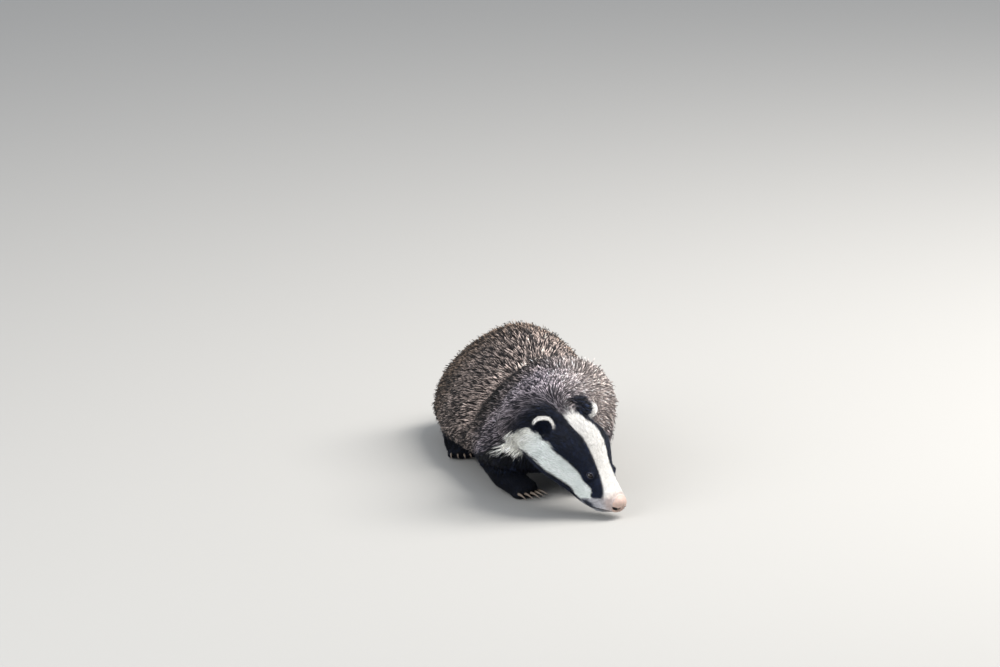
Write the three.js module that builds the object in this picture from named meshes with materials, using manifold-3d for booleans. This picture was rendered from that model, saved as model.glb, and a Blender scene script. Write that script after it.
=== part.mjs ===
// European badger: a still, life-size model of a young adult that noses along the ground in a low crouch,
// its head turned to its left and lowered. Millimetres, +Z up. The animal faces -Y, its left side is +X and
// its paws stand on Z = 0. The origin is under the middle of the animal's box.
//
// Places are written as forward, left, up. The head has axes of its own, with their origin midway between
// the bases of the ears and the nose tip straight ahead.

import * as THREE from 'three';
import Module from 'manifold-3d';

const wasm = await Module();
wasm.setup();

const DEGREE = Math.PI / 180;

// Gap between pieces that meet
const GAP = 0.3;

// Head: place of the midpoint between the ear bases, and how far it is turned left, lowered and rolled
const HEAD_AT = [118, -4, 98];
const HEAD_TURN = 43.6 * DEGREE;
const HEAD_LOWERED = 40.1 * DEGREE;
const HEAD_ROLL = 5.5 * DEGREE;
const NOSE_TIP = 130;

// Trunk: heights of the back's line out to the tips of the coat, half widths there, and the belly
const SHOULDER_TOP = 155;
const SADDLE_TOP = 139;
const LOIN_TOP = 155;
const HIP_HALF = 104;
const SADDLE_HALF = 94;
const SHOULDER_HALF = 87;
const BELLY = 21;

// Depth of the coat from the skin to the tips, and the share of it that the underside has. The core
// reaches half way.
const TRUNK_COAT = 22;
const NAPE_COAT = 8;
const TAIL_COAT = 14;
const BELLY_SHARE = 0.4;
const NAPE_SINK = 1;

// Half of the step that a path's direction is taken over, and the steps of a girth on each side
const HALF_STEP = 0.5;
const GIRTH_STEPS = 30;

// Locks: a lock's root lies this much deeper than its core's surface, and no two widths or lengths agree
const ROOT_SINK = 7;
const LOCK_THICK = 3.4;
const LOCK_TIP_THICK = 0.8;
const LOCK_RISE = 1.3;
const LOCK_TAPER = 2.4;
const LOCK_RINGS = [0, 0.36, 0.66, 0.87];
const LOCK_TIP_LEVEL = 1.5;
const MOST_COLUMNS = 12;

const EYE_RADIUS = 5;
const EYE_AT = [79, 22.6, 6.5];
const EAR_AT = [1, 47, 13];
const EAR_HEIGHT = 34;
const EAR_WIDTH = 29;
const EAR_DEPTH = 18;
const EAR_WALL = 3;
const FORE_CLAW = 20;
const HIND_CLAW = 11;
const TOE_SPACING = 7;

// Turns a place given as forward, left, up into a point of the model.
function place([forward, left, up]) {
  return new THREE.Vector3(left, -forward, up);
}

// The head's own frame: its left along X, its forward along -Y, its crown along Z.
function headFrame() {
  const forward = place([
    Math.cos(HEAD_LOWERED) * Math.cos(HEAD_TURN),
    Math.cos(HEAD_LOWERED) * Math.sin(HEAD_TURN),
    -Math.sin(HEAD_LOWERED),
  ]);
  const level = place([-Math.sin(HEAD_TURN), Math.cos(HEAD_TURN), 0]);
  const upright = new THREE.Vector3().crossVectors(forward, level).negate();
  const left = level.multiplyScalar(Math.cos(HEAD_ROLL)).addScaledVector(upright, Math.sin(HEAD_ROLL));
  const crown = new THREE.Vector3().crossVectors(left, forward.clone().negate());
  return new THREE.Matrix4().makeBasis(left, forward.negate(), crown).setPosition(place(HEAD_AT));
}

const HEAD_FRAME = headFrame();

// Slopes of a smooth curve at its knots, from both neighbours weighted by their distances.
function slopes(knots, values) {
  const last = knots.length - 1;
  return knots.map((knot, i) => {
    if (i === 0) return (values[1] - values[0]) / (knots[1] - knots[0]);
    if (i === last) return (values[last] - values[last - 1]) / (knots[last] - knots[last - 1]);
    const before = knot - knots[i - 1];
    const after = knots[i + 1] - knot;
    const rise = (values[i + 1] - values[i]) * before ** 2 + (values[i] - values[i - 1]) * after ** 2;
    return rise / (before * after * (before + after));
  });
}

// A function that runs smoothly through the values at the knots.
function smooth(knots, values) {
  const slope = slopes(knots, values);
  return (t) => {
    let i = 0;
    while (i < knots.length - 2 && t >= knots[i + 1]) i += 1;
    const step = knots[i + 1] - knots[i];
    const x = (t - knots[i]) / step;
    const rest = 1 - x;
    return values[i] * rest * rest * (1 + 2 * x) + values[i + 1] * x * x * (3 - 2 * x)
      + slope[i] * step * x * rest * rest - slope[i + 1] * step * x * x * rest;
  };
}

// Share of its full size that a form has at a distance from its round end.
function roundEnd(distance, radius) {
  const x = Math.min(Math.max(distance / radius, 0), 1);
  return Math.sqrt(Math.max(1 - (1 - x) ** 2, 0));
}

// A body whose sections are carried along a path. A station holds the place of its section, the half
// width, the height above and the depth below it, the powers of its outline above and below, where 2 is
// an ellipse and more is squarer, how much squarer its left shoulder is than its right one, and how far
// its top leans to the left for each unit of height.
class Loft {
  constructor(stations, { side, roundStart, roundFinish, along, around }) {
    const points = stations.map((station) => station.at);
    const sides = stations.map((station) => station.side ?? side);
    this.knots = [0];
    points.slice(1).forEach((point, i) => this.knots.push(this.knots[i] + point.distanceTo(points[i])));
    this.length = this.knots[this.knots.length - 1];
    const values = (name, start) => smooth(this.knots, stations.map((station) => station[name] ?? start));
    const curve = (vectors, axis) => smooth(this.knots, vectors.map((vector) => vector[axis]));
    const curves = (vectors) => ['x', 'y', 'z'].map((axis) => curve(vectors, axis));
    this.coordinates = curves(points);
    this.sideways = curves(sides);
    this.wide = values('wide');
    this.above = values('above');
    this.below = values('below');
    this.crest = values('crest', 2);
    this.keel = values('keel', 2);
    this.skew = values('skew', 0);
    this.lean = values('lean', 0);
    this.coat = values('coat', 0);
    Object.assign(this, { roundStart, roundFinish, along, around });
  }

  at(t) {
    return new THREE.Vector3(...this.coordinates.map((coordinate) => coordinate(t)));
  }

  // The path's direction, the level way across it and the way up, at a distance along it.
  frame(t) {
    const ahead = this.at(Math.min(t + HALF_STEP, this.length));
    const forward = ahead.sub(this.at(Math.max(t - HALF_STEP, 0))).normalize();
    const across = new THREE.Vector3(...this.sideways.map((coordinate) => coordinate(t)));
    across.addScaledVector(forward, -across.dot(forward)).normalize();
    return { forward, across, up: new THREE.Vector3().crossVectors(forward, across) };
  }

  // The point of the surface at a distance along the path and an angle round it, moved out by grow.
  point(t, angle, grow = 0) {
    const { forward, across, up } = this.frame(t);
    const start = roundEnd(t, this.roundStart);
    const finish = roundEnd(this.length - t, this.roundFinish);
    const ends = start * finish;
    const upper = Math.sin(angle) > 0;
    const power = 2 / (upper ? this.crest(t) * (1 + this.skew(t) * Math.cos(angle)) : this.keel(t));
    const height = (upper ? this.above(t) : this.below(t)) + grow;
    const rise = ends * height * Math.sign(Math.sin(angle)) * Math.abs(Math.sin(angle)) ** power;
    const width = this.wide(t) + grow;
    const reach = ends * width * Math.sign(Math.cos(angle)) * Math.abs(Math.cos(angle)) ** power;
    return this.at(t).addScaledVector(across, reach + this.lean(t) * rise)
      .addScaledVector(up, rise)
      .addScaledVector(forward, grow * (start - finish));
  }

  // The angle at a distance round the surface from its crest, to the animal's left where it is positive.
  // The distance is one on the ring at start, and shrinks or grows with the girth from there to t.
  angleAt(t, distance, start = t) {
    const step = (-Math.sign(distance) * Math.PI) / GIRTH_STEPS;
    const girth = (where) => {
      const angles = Array.from({ length: GIRTH_STEPS + 1 }, (_, i) => Math.PI / 2 + i * step);
      const points = angles.map((angle) => this.point(where, angle));
      return points.slice(1).map((point, i) => point.distanceTo(points[i]));
    };
    const lengths = girth(t);
    const total = (values) => values.reduce((sum, length) => sum + length, 0);
    let rest = Math.abs(distance) * (start === t ? 1 : total(lengths) / total(girth(start)));
    const i = lengths.findIndex((length) => {
      if (length > rest) return true;
      rest -= length;
      return false;
    });
    return i < 0 ? -Math.PI / 2 : Math.PI / 2 + step * (i + rest / lengths[i]);
  }

  // The coat's depth, thinner towards the underside.
  coatAt(t, angle) {
    return this.coat(t) * THREE.MathUtils.lerp(BELLY_SHARE, 1, (1 + Math.sin(angle)) / 2);
  }

  // Distances of the rings, closer together towards the ends.
  ring(i) {
    const share = i / this.along;
    return this.length * (0.45 * share + 0.55 * (1 - Math.cos(Math.PI * share)) / 2);
  }

  // The closed surface, moved out by grow and in by a share of the coat's depth.
  solid(grow = 0, share = 0) {
    const { along, around } = this;
    const points = [];
    const at = (t, angle) => points.push(this.point(t, angle, grow - share * this.coatAt(t, angle)));
    for (let i = 1; i < along; i += 1) {
      for (let j = 0; j < around; j += 1) at(this.ring(i), (2 * Math.PI * j) / around);
    }
    at(0, 0);
    at(this.length, 0);
    const triangles = [];
    for (let j = 0; j < around; j += 1) {
      const next = (j + 1) % around;
      for (let i = 0; i < along - 2; i += 1) {
        const row = i * around;
        const after = row + around;
        triangles.push([row + j, row + next, after + next], [row + j, after + next, after + j]);
      }
      const last = (along - 2) * around;
      triangles.push([points.length - 2, next, j], [points.length - 1, last + j, last + next]);
    }
    return solidOf(points, triangles);
  }
}

// A closed solid from its points and its triangles, turned the right way out.
function solidOf(points, triangles) {
  const build = (faces) => new wasm.Manifold(new wasm.Mesh({
    numProp: 3,
    vertProperties: new Float32Array(points.flatMap((point) => [point.x, point.y, point.z])),
    triVerts: new Uint32Array(faces.flat()),
  }));
  const body = build(triangles);
  return body.volume() > 0 ? body : build(triangles.map(([a, b, c]) => [a, c, b]));
}

// The geometry of one of three's closed shapes, with its shared corners joined, as a solid.
function solidFrom(geometry, matrix) {
  const position = (geometry.index ? geometry.toNonIndexed() : geometry).getAttribute('position');
  const found = new Map();
  const points = [];
  const corners = [];
  for (let i = 0; i < position.count; i += 1) {
    const point = new THREE.Vector3().fromBufferAttribute(position, i);
    const key = [point.x, point.y, point.z].map((value) => Math.round(value * 1e4)).join();
    if (!found.has(key)) {
      found.set(key, points.length);
      points.push(point.applyMatrix4(matrix));
    }
    corners.push(found.get(key));
  }
  const triangles = [];
  for (let i = 0; i < corners.length; i += 3) {
    const [a, b, c] = corners.slice(i, i + 3);
    if (a !== b && b !== c && c !== a) triangles.push([a, b, c]);
  }
  return solidOf(points, triangles);
}

// An ellipsoid with its radii along the axes of a frame.
function ellipsoid(frame, radii, detail = 16) {
  const matrix = frame.clone().scale(new THREE.Vector3(...radii));
  return solidFrom(new THREE.SphereGeometry(1, detail, Math.ceil(detail / 2)), matrix);
}

// A frame at a point whose Z looks along one way and whose Y lies as near as can be to another.
function frameAt(point, look, upward) {
  const z = look.clone().normalize();
  const x = new THREE.Vector3().crossVectors(upward, z).normalize();
  return new THREE.Matrix4().makeBasis(x, new THREE.Vector3().crossVectors(z, x), z).setPosition(point);
}

function union(solids) {
  return wasm.Manifold.union(solids);
}

// The side of a solid that a plane's normal points to, the plane moved that way by an offset.
function beyond(solid, normal, point, offset = 0) {
  const unit = normal.clone().normalize();
  return solid.trimByPlane(unit.toArray(), unit.dot(point) + offset);
}

// The largest closed surface of a solid, without scraps and sealed hollows.
function largest(solid) {
  return solid.decompose().reduce((best, piece) => (piece.volume() > best.volume() ? piece : best));
}

// The same numbers between 0 and 1 on every run.
function seeded(seed) {
  let state = seed;
  return () => {
    state = (Math.imul(state, 1664525) + 1013904223) >>> 0;
    return state / 2 ** 32;
  };
}

// One lock of a loft's coat, a blade with a low ridge. It sets off inside the core, runs along the path,
// comes further down the side as it goes, and rises to the coat's outer surface at its tip.
function lock(loft, { start, crest, run, fall, width, tip }) {
  const sink = loft.coat(start) / 2 + ROOT_SINK;
  const spine = (share, sideways, lift) => {
    const t = start + run * share;
    const angle = loft.angleAt(t, crest + fall * share + sideways, start);
    return loft.point(t, angle, tip - sink * (1 - share) ** LOCK_RISE + lift);
  };
  const points = LOCK_RINGS.flatMap((share) => {
    const half = (width / 2) * (1 - share ** LOCK_TAPER);
    const thick = THREE.MathUtils.lerp(LOCK_THICK, LOCK_TIP_THICK, share);
    return [spine(share, -half, 0), spine(share, half, 0), spine(share, 0, thick)];
  });
  points.push(spine(1, 0, 0));
  const triangles = [[0, 2, 1]];
  for (let ring = 0; ring < LOCK_RINGS.length - 1; ring += 1) {
    for (let side = 0; side < 3; side += 1) {
      const a = 3 * ring + side;
      const b = 3 * ring + ((side + 1) % 3);
      triangles.push([a, b, b + 3], [a, b + 3, a + 3]);
    }
  }
  const last = 3 * (LOCK_RINGS.length - 1);
  triangles.push([last, last + 1, last + 3], [last + 1, last + 2, last + 3], [last + 2, last, last + 3]);
  return solidOf(points, triangles);
}

// Staggered rows of locks that lie over one another like thatch, from the crest down to a lowest angle on
// each side. The rows are a pitch apart, and the tips stand about the outline.
function coatOf(loft, { first, last, pitch, width, length, lowest, fall, seed }) {
  const random = seeded(seed);
  const vary = (amount) => amount * (2 * random() - 1);
  const way = Math.sign(last - first);
  const locks = [];
  const rows = Math.round(Math.abs(last - first) / pitch);
  for (let row = 0; row <= rows; row += 1) {
    const start = THREE.MathUtils.lerp(first, last, row / rows);
    const shift = row % 2 ? 0.5 : 0;
    for (let column = -MOST_COLUMNS; column <= MOST_COLUMNS; column += 1) {
      const crest = (column + shift) * width;
      if (loft.angleAt(start, crest) > lowest && loft.angleAt(start, crest) < Math.PI - lowest) {
        locks.push(lock(loft, {
          start: start + vary(0.08 * pitch),
          crest: crest + vary(0.03 * width),
          run: way * length * (1 + vary(0.1)),
          fall: Math.sign(crest) * fall * (1 + vary(0.5)),
          width: width * (0.93 + vary(0.03)),
          tip: LOCK_TIP_LEVEL + vary(1),
        }));
      }
    }
  }
  return union(locks);
}

// Trunk from the rump to the chest, with the heights of its top and bottom at each station
const TRUNK = [
  { at: [-322, 0, 66], wide: 46, top: 102, bottom: 34 },
  { at: [-290, -2, 52], wide: 85, top: 124, bottom: 23, keel: 2.6, lean: 0.03 },
  { at: [-245, -4, 42], wide: 101, top: 150, crest: 1.75, keel: 2.9, lean: 0.05 },
  { at: [-190, -5, 40], wide: HIP_HALF, top: LOIN_TOP, crest: 1.65, keel: 3, lean: 0.06 },
  { at: [-130, -7, 41], wide: 102, top: 150, crest: 1.7, keel: 3, lean: 0.08 },
  { at: [-75, -8, 45], wide: SADDLE_HALF, top: SADDLE_TOP, crest: 1.9, keel: 2.8, lean: 0.15 },
  { at: [-25, -6, 48], wide: SHOULDER_HALF, top: SHOULDER_TOP, crest: 2.15, skew: 0.25, lean: 0.26 },
  { at: [20, -5, 50], wide: 83, top: 153, crest: 2.2, keel: 2.3, skew: 0.25, lean: 0.27 },
  { at: [62, -3, 59], wide: 71, top: 143, bottom: 29, keel: 2.2, skew: 0.1, lean: 0.2 },
  { at: [92, -3, 69], wide: 53, top: 127, bottom: 41, lean: 0.1 },
].map(({ at, top, bottom = BELLY, ...shape }) => ({
  at: place(at),
  above: top - at[2],
  below: at[2] - bottom,
  coat: TRUNK_COAT,
  ...shape,
}));

// Head from the nape to the nose, in its own frame
const HEAD = [
  { at: [-46, 0, -4], wide: 49, above: 31, below: 38, crest: 2.1, keel: 2.2 },
  { at: [-18, 0, -5], wide: 54, above: 33, below: 42, crest: 2.1, keel: 2.3 },
  { at: [12, 0, -6], wide: 57, above: 37, below: 41, crest: 2.4, keel: 2.3 },
  { at: [36, 0, -6], wide: 55, above: 39, below: 37, crest: 2.9, keel: 2.3 },
  { at: [56, 0, -6], wide: 45, above: 34, below: 33, crest: 2.8, keel: 2.3 },
  { at: [76, 0, -5], wide: 33, above: 24, below: 31, crest: 2.5, keel: 2.3 },
  { at: [94, 0, -4], wide: 24, above: 17, below: 32, crest: 2.4, keel: 2.3 },
  { at: [110, 0, -3], wide: 18.5, above: 12.5, below: 27, crest: 2.3, keel: 2.3 },
  { at: [122, 0, -2], wide: 15, above: 10, below: 15, crest: 2.2, keel: 2.2 },
  { at: [NOSE_TIP, 0, -1], wide: 11, above: 7.5, below: 9, crest: 2.2, keel: 2.2 },
].map((station) => ({ ...station, at: place(station.at) }));

const LEFT = new THREE.Vector3(1, 0, 0);
const CROWN = new THREE.Vector3(0, 0, 1);

const trunkLoft = new Loft(TRUNK, { side: LEFT, roundStart: 34, roundFinish: 40, along: 22, around: 28 });
const headLoft = new Loft(HEAD, { side: LEFT, roundStart: 26, roundFinish: 7, along: 26, around: 28 });

// The neck runs on one bend from the withers to the back of the head and turns with it.
function neckStations() {
  const start = place([-10, 5, 79]);
  const finish = place([3, -4, -8]).applyMatrix4(HEAD_FRAME);
  const setOff = place([110, 4, 36]);
  const arrive = place([90, 0, 0]).transformDirection(HEAD_FRAME).multiplyScalar(90);
  const bend = (a, b, c, d, s) => a.clone().multiplyScalar(1 - 3 * s * s + 2 * s ** 3)
    .addScaledVector(b, s - 2 * s * s + s ** 3)
    .addScaledVector(c, 3 * s * s - 2 * s ** 3)
    .addScaledVector(d, s ** 3 - s * s);
  const headLeft = LEFT.clone().transformDirection(HEAD_FRAME);
  return [0, 1 / 6, 1 / 3, 1 / 2, 2 / 3, 5 / 6, 1].map((s) => ({
    at: bend(start, setOff, finish, arrive, s),
    side: LEFT.clone().lerp(headLeft, s),
    wide: THREE.MathUtils.lerp(78, 55, Math.sqrt(s)),
    above: THREE.MathUtils.lerp(70, 38, s),
    below: THREE.MathUtils.lerp(46, 42, s),
    skew: THREE.MathUtils.lerp(0.2, 0, s),
    lean: THREE.MathUtils.lerp(0.2, 0, s),
    coat: THREE.MathUtils.lerp(TRUNK_COAT, NAPE_COAT, s),
  }));
}

const NECK_MESH = { side: LEFT, roundStart: 30, roundFinish: 30, along: 14, around: 24 };
const neckLoft = new Loft(neckStations(), NECK_MESH);

// A limb from the body down to the toes: straight, tapering lengths that meet in round joints.
class Limb {
  constructor(points, wide, deep) {
    this.joints = points.map(place);
    this.lengths = this.joints.slice(1).map((lower, i) => {
      const along = lower.clone().sub(this.joints[i]).normalize();
      const station = (k, reach) => ({
        at: this.joints[k].clone().addScaledVector(along, reach * deep[k]),
        wide: wide[k],
        above: deep[k],
        below: deep[k],
      });
      const ends = { roundStart: deep[i], roundFinish: deep[i + 1] };
      return new Loft([station(i, -1), station(i + 1, 1)], { side: LEFT, ...ends, along: 5, around: 10 });
    });
  }

  solid(grow = 0) {
    return union(this.lengths.map((length) => length.solid(grow)));
  }

  // The middle of the paw and the level way that it points.
  paw() {
    const [wrist, middle] = this.joints.slice(-2);
    return { middle, forward: middle.clone().sub(wrist).setZ(0).normalize() };
  }
}

// Claws: slim horns that curve from the toes down to the floor.
function claw(root, forward, length) {
  const across = new THREE.Vector3().crossVectors(CROWN, forward).normalize();
  const stations = [0, 1 / 3, 2 / 3, 1].map((s) => ({
    at: root.clone().addScaledVector(forward, s * length).addScaledVector(CROWN, 3 * s - 6.5 * s * s),
    wide: 1.9 - 1.1 * s,
    above: 2.6 - 1.9 * s,
    below: 2.2 - 1.6 * s,
  }));
  return new Loft(stations, { side: across, roundStart: 1, roundFinish: 2, along: 3, around: 4 }).solid();
}

// Toes and claws spread across the front of a paw that points along a level way.
function toes(front, forward, clawLength) {
  const across = new THREE.Vector3().crossVectors(CROWN, forward).normalize();
  return [-2, -1, 0, 1, 2].flatMap((i) => {
    const way = forward.clone().addScaledVector(across, 0.1 * i).normalize();
    const middle = front.clone().addScaledVector(across, i * TOE_SPACING);
    middle.addScaledVector(forward, -2.2 * Math.abs(i)).setZ(6.5);
    const toe = ellipsoid(frameAt(middle, way, CROWN), [4.6, 6.2, 9], 8);
    const root = middle.clone().addScaledVector(way, 5).setZ(7);
    return [toe, claw(root, way, clawLength)];
  });
}

// A leg with its paw, standing on a flat at the floor.
function leg(limb, clawLength, grow = 0) {
  const { middle, forward } = limb.paw();
  const front = middle.clone().addScaledVector(forward, 2);
  const body = union([limb.solid(grow), ...toes(front, forward, clawLength)]);
  return beyond(body, CROWN, new THREE.Vector3());
}

// Limbs as joints from the elbow or knee down to the paw, with the half width and half depth at each
const FORELEG_WIDE = [21, 19, 17, 18];
const FORELEG_DEEP = [22, 19, 14, 11];
const FORELEGS = {
  left: new Limb([[-12, 48, 54], [-2, 56, 36], [32, 54, 19], [66, 49, 10]], FORELEG_WIDE, FORELEG_DEEP),
  right: new Limb([[-10, -54, 54], [2, -65, 37], [42, -56, 20], [70, -36, 10]], FORELEG_WIDE, FORELEG_DEEP),
};

// The hips sit this much to the right of the middle line
const HIP_SHIFT = 5;
const HINDLEG_WIDE = [22, 17, 16, 16];
const HINDLEG_DEEP = [24, 15, 12, 11];

function hindLimb(side) {
  const joints = [[-168, 68, 44], [-200, 79, 22], [-166, 81, 11], [-132, 79, 10]];
  const points = joints.map(([forward, out, up]) => [forward, side * out - HIP_SHIFT, up]);
  return new Limb(points, HINDLEG_WIDE, HINDLEG_DEEP);
}

const HINDLEGS = { left: hindLimb(1), right: hindLimb(-1) };

// Tail from its root in the rump to its tip
const TAIL = [
  { at: [-282, -3, 82], wide: 20, above: 19, below: 20 },
  { at: [-322, -3, 67], wide: 25, above: 22, below: 24 },
  { at: [-351, -3, 45], wide: 23, above: 20, below: 21 },
  { at: [-368, -3, 22], wide: 10, above: 10, below: 10 },
].map((station) => ({ coat: TAIL_COAT, ...station, at: place(station.at) }));

const tailLoft = new Loft(TAIL, { side: LEFT, roundStart: 16, roundFinish: 8, along: 10, around: 14 });

function trunkLocks() {
  const size = { pitch: 38, width: 42, length: 62, fall: 8 };
  return coatOf(trunkLoft, { first: 388, last: 86, lowest: -0.35, seed: 11, ...size });
}

function neckLocks() {
  const size = { pitch: 32, width: 34, length: 50, fall: 6 };
  return coatOf(neckLoft, { first: neckLoft.length - 22, last: 60, lowest: -0.9, seed: 23, ...size });
}

function tailLocks() {
  const size = { pitch: 26, width: 27, length: 46, fall: 2 };
  return coatOf(tailLoft, { first: 14, last: 74, lowest: -2, seed: 37, ...size });
}

// Where neck and torso part, and in the head's own frame where head and neck part
const NECK_CUT = { at: place([42, -8, 90]), normal: place([0.97, 0.12, -0.05]) };
const HEAD_CUT = { at: place([-16, 0, 0]), normal: place([1, 0, 0.1]) };

// The outside of an ear: an ellipsoid that looks forward and outward.
function earFrame(side) {
  const middle = place([EAR_AT[0], side * EAR_AT[1], EAR_AT[2]]);
  return frameAt(middle, place([0.72, side * 0.66, -0.12]), place([-0.1, side * 0.34, 1]));
}

function earBody(side, grow = 0) {
  const radii = [EAR_WIDTH, EAR_HEIGHT, EAR_DEPTH].map((size) => size / 2 + grow);
  return ellipsoid(earFrame(side), radii, 20);
}

// The hollow of an ear's cup, open to the front. It goes on into the side of the head.
function earHollow(side) {
  const hollow = earFrame(side).multiply(new THREE.Matrix4().makeTranslation(0, 1.5, EAR_DEPTH * 0.42));
  const radii = [EAR_WIDTH / 2 - EAR_WALL, EAR_HEIGHT / 2 - EAR_WALL, EAR_DEPTH * 0.62];
  return ellipsoid(hollow, radii, 16);
}

// Lids: a ball that stands proud of the face, opened by a slit shaped as an almond.
function eyeFrame(side) {
  const middle = place([EYE_AT[0], side * EYE_AT[1], EYE_AT[2]]);
  return frameAt(middle, place([0.42, side * 0.84, 0.35]), CROWN);
}

function almond(frame, length, height, depth) {
  const shape = new THREE.Shape();
  shape.moveTo(-length / 2, 0);
  shape.quadraticCurveTo(0, height * 1.15, length / 2, 0);
  shape.quadraticCurveTo(0, -height * 0.85, -length / 2, 0);
  const geometry = new THREE.ExtrudeGeometry(shape, { depth, bevelEnabled: false, curveSegments: 8 });
  return solidFrom(geometry, frame);
}

// Mouth: the line between the lips in the head's own frame, as forward and up, from the nose to its corner
const MOUTH = [[136, -10], [124, -13], [114, -19], [104, -23.5], [94, -25], [86, -23]];
const MOUTH_GAP = 1.2;
const JAW_BACK = [[60, -34], [52, -70]];

// The space under the mouth line and in front of the jaw's angle, as a block.
function jawSpace(inset) {
  const mouth = MOUTH.map(([forward, up]) => new THREE.Vector2(forward, up - inset));
  const back = JAW_BACK.map(([forward, up]) => new THREE.Vector2(forward + inset, up));
  const outline = [...mouth, ...back, new THREE.Vector2(MOUTH[0][0], JAW_BACK[1][1])];
  const geometry = new THREE.ExtrudeGeometry(new THREE.Shape(outline), { depth: 120, bevelEnabled: false });
  const matrix = new THREE.Matrix4().makeBasis(place([1, 0, 0]), CROWN, LEFT);
  return solidFrom(geometry, matrix.setPosition(place([0, -60, 0])));
}

// Nostrils: round pits that run back and outward, with a slit to the side.
function nostril(side) {
  const front = place([NOSE_TIP + 1, side * 5.2, -1.5]);
  const wing = place([NOSE_TIP - 4, side * 9.5, -4]);
  const pit = ellipsoid(frameAt(front, place([-1, side * 0.35, 0.1]), CROWN), [2.7, 3, 9], 10);
  const slit = ellipsoid(frameAt(wing, place([-0.3, side, -0.4]), CROWN), [4.5, 1.2, 6], 8);
  return union([pit, slit]);
}

// Where the nose pad and the face part
const NOSE_CUT = { at: place([119.5, 0, 0]), normal: place([1, 0, 0.12]) };

// The head's solids in its own frame
function headPieces() {
  let whole = beyond(headLoft.solid(), HEAD_CUT.normal, HEAD_CUT.at);
  const eyes = {};
  [['left', 1], ['right', -1]].forEach(([name, side]) => {
    const frame = eyeFrame(side);
    const lids = ellipsoid(frame, [EYE_RADIUS + 2.2, EYE_RADIUS + 1.8, EYE_RADIUS + 1.3], 18);
    const room = ellipsoid(frame, [EYE_RADIUS + GAP, EYE_RADIUS + GAP, EYE_RADIUS + GAP], 14);
    whole = whole.add(lids).subtract(room).subtract(almond(frame, 9, 5.6, 12));
    eyes[name] = ellipsoid(frame, [EYE_RADIUS, EYE_RADIUS, EYE_RADIUS], 14);
  });
  const earHollows = union([earHollow(1), earHollow(-1)]);
  whole = whole.subtract(earHollows);
  const jaw = largest(whole.intersect(jawSpace(MOUTH_GAP)));
  const upper = whole.subtract(jawSpace(0));
  const muzzle = beyond(upper, NOSE_CUT.normal, NOSE_CUT.at, GAP);
  const nose = largest(muzzle.subtract(union([nostril(1), nostril(-1)])));
  const head = largest(beyond(upper, NOSE_CUT.normal.clone().negate(), NOSE_CUT.at));
  const cut = union([headLoft.solid(2 * GAP), earHollows]);
  const ears = { left: largest(earBody(1).subtract(cut)), right: largest(earBody(-1).subtract(cut)) };
  return { head, jaw, nose, eyes, ears };
}

// The body's solids in the model's frame. The nape is the back of the head under the neck's coat.
function bodyPieces() {
  const limbs = Object.values(FORELEGS).concat(Object.values(HINDLEGS));
  const legSpace = union(limbs.map((limb) => leg(limb, HIND_CLAW, GAP)));
  const nape = headLoft.solid(-NAPE_SINK).transform(HEAD_FRAME.elements);
  const core = union([trunkLoft.solid(0, 0.5), neckLoft.solid(0, 0.5), nape]);
  const tailSpace = tailLoft.solid(2 * LOCK_TIP_LEVEL + GAP);
  const whole = union([core, trunkLocks().subtract(tailSpace), neckLocks()]);
  const torso = beyond(whole, NECK_CUT.normal.clone().negate(), NECK_CUT.at).subtract(legSpace);
  const head = beyond(headLoft.solid(GAP), HEAD_CUT.normal, HEAD_CUT.at, -GAP);
  const headSpace = union([head, earBody(1, GAP), earBody(-1, GAP)]).transform(HEAD_FRAME.elements);
  const neck = beyond(whole, NECK_CUT.normal, NECK_CUT.at, GAP).subtract(union([legSpace, headSpace]));
  const tail = union([tailLoft.solid(0, 0.5), tailLocks()]).subtract(trunkLoft.solid(GAP, 0.5));
  return { torso: largest(torso), neck: largest(neck), tail: largest(tail) };
}

const MATERIALS = {
  coat: new THREE.MeshStandardMaterial({ color: 0x77695f, roughness: 0.9, metalness: 0 }),
  neckCoat: new THREE.MeshStandardMaterial({ color: 0x6c6470, roughness: 0.9, metalness: 0 }),
  face: new THREE.MeshStandardMaterial({ color: 0xe6e4dc, roughness: 0.85, metalness: 0 }),
  jaw: new THREE.MeshStandardMaterial({ color: 0xcfd0c6, roughness: 0.85, metalness: 0 }),
  nose: new THREE.MeshStandardMaterial({ color: 0xcda58c, roughness: 0.6, metalness: 0 }),
  dark: new THREE.MeshStandardMaterial({ color: 0x1a1a24, roughness: 0.85, metalness: 0 }),
  eye: new THREE.MeshStandardMaterial({ color: 0x0c0a0a, roughness: 0.08, metalness: 0 }),
  tail: new THREE.MeshStandardMaterial({ color: 0xb9ab97, roughness: 0.9, metalness: 0 }),
};

// A named mesh from a solid.
function mesh(name, solid, material) {
  const { numProp, vertProperties, triVerts } = solid.getMesh();
  const geometry = new THREE.BufferGeometry();
  const positions = new Float32Array((vertProperties.length / numProp) * 3);
  for (let i = 0; i < positions.length; i += 1) {
    positions[i] = vertProperties[Math.floor(i / 3) * numProp + (i % 3)];
  }
  geometry.setAttribute('position', new THREE.BufferAttribute(positions, 3));
  geometry.setIndex(new THREE.BufferAttribute(new Uint32Array(triVerts), 1));
  geometry.computeVertexNormals();
  const piece = new THREE.Mesh(geometry, material);
  piece.name = name;
  return piece;
}

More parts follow.
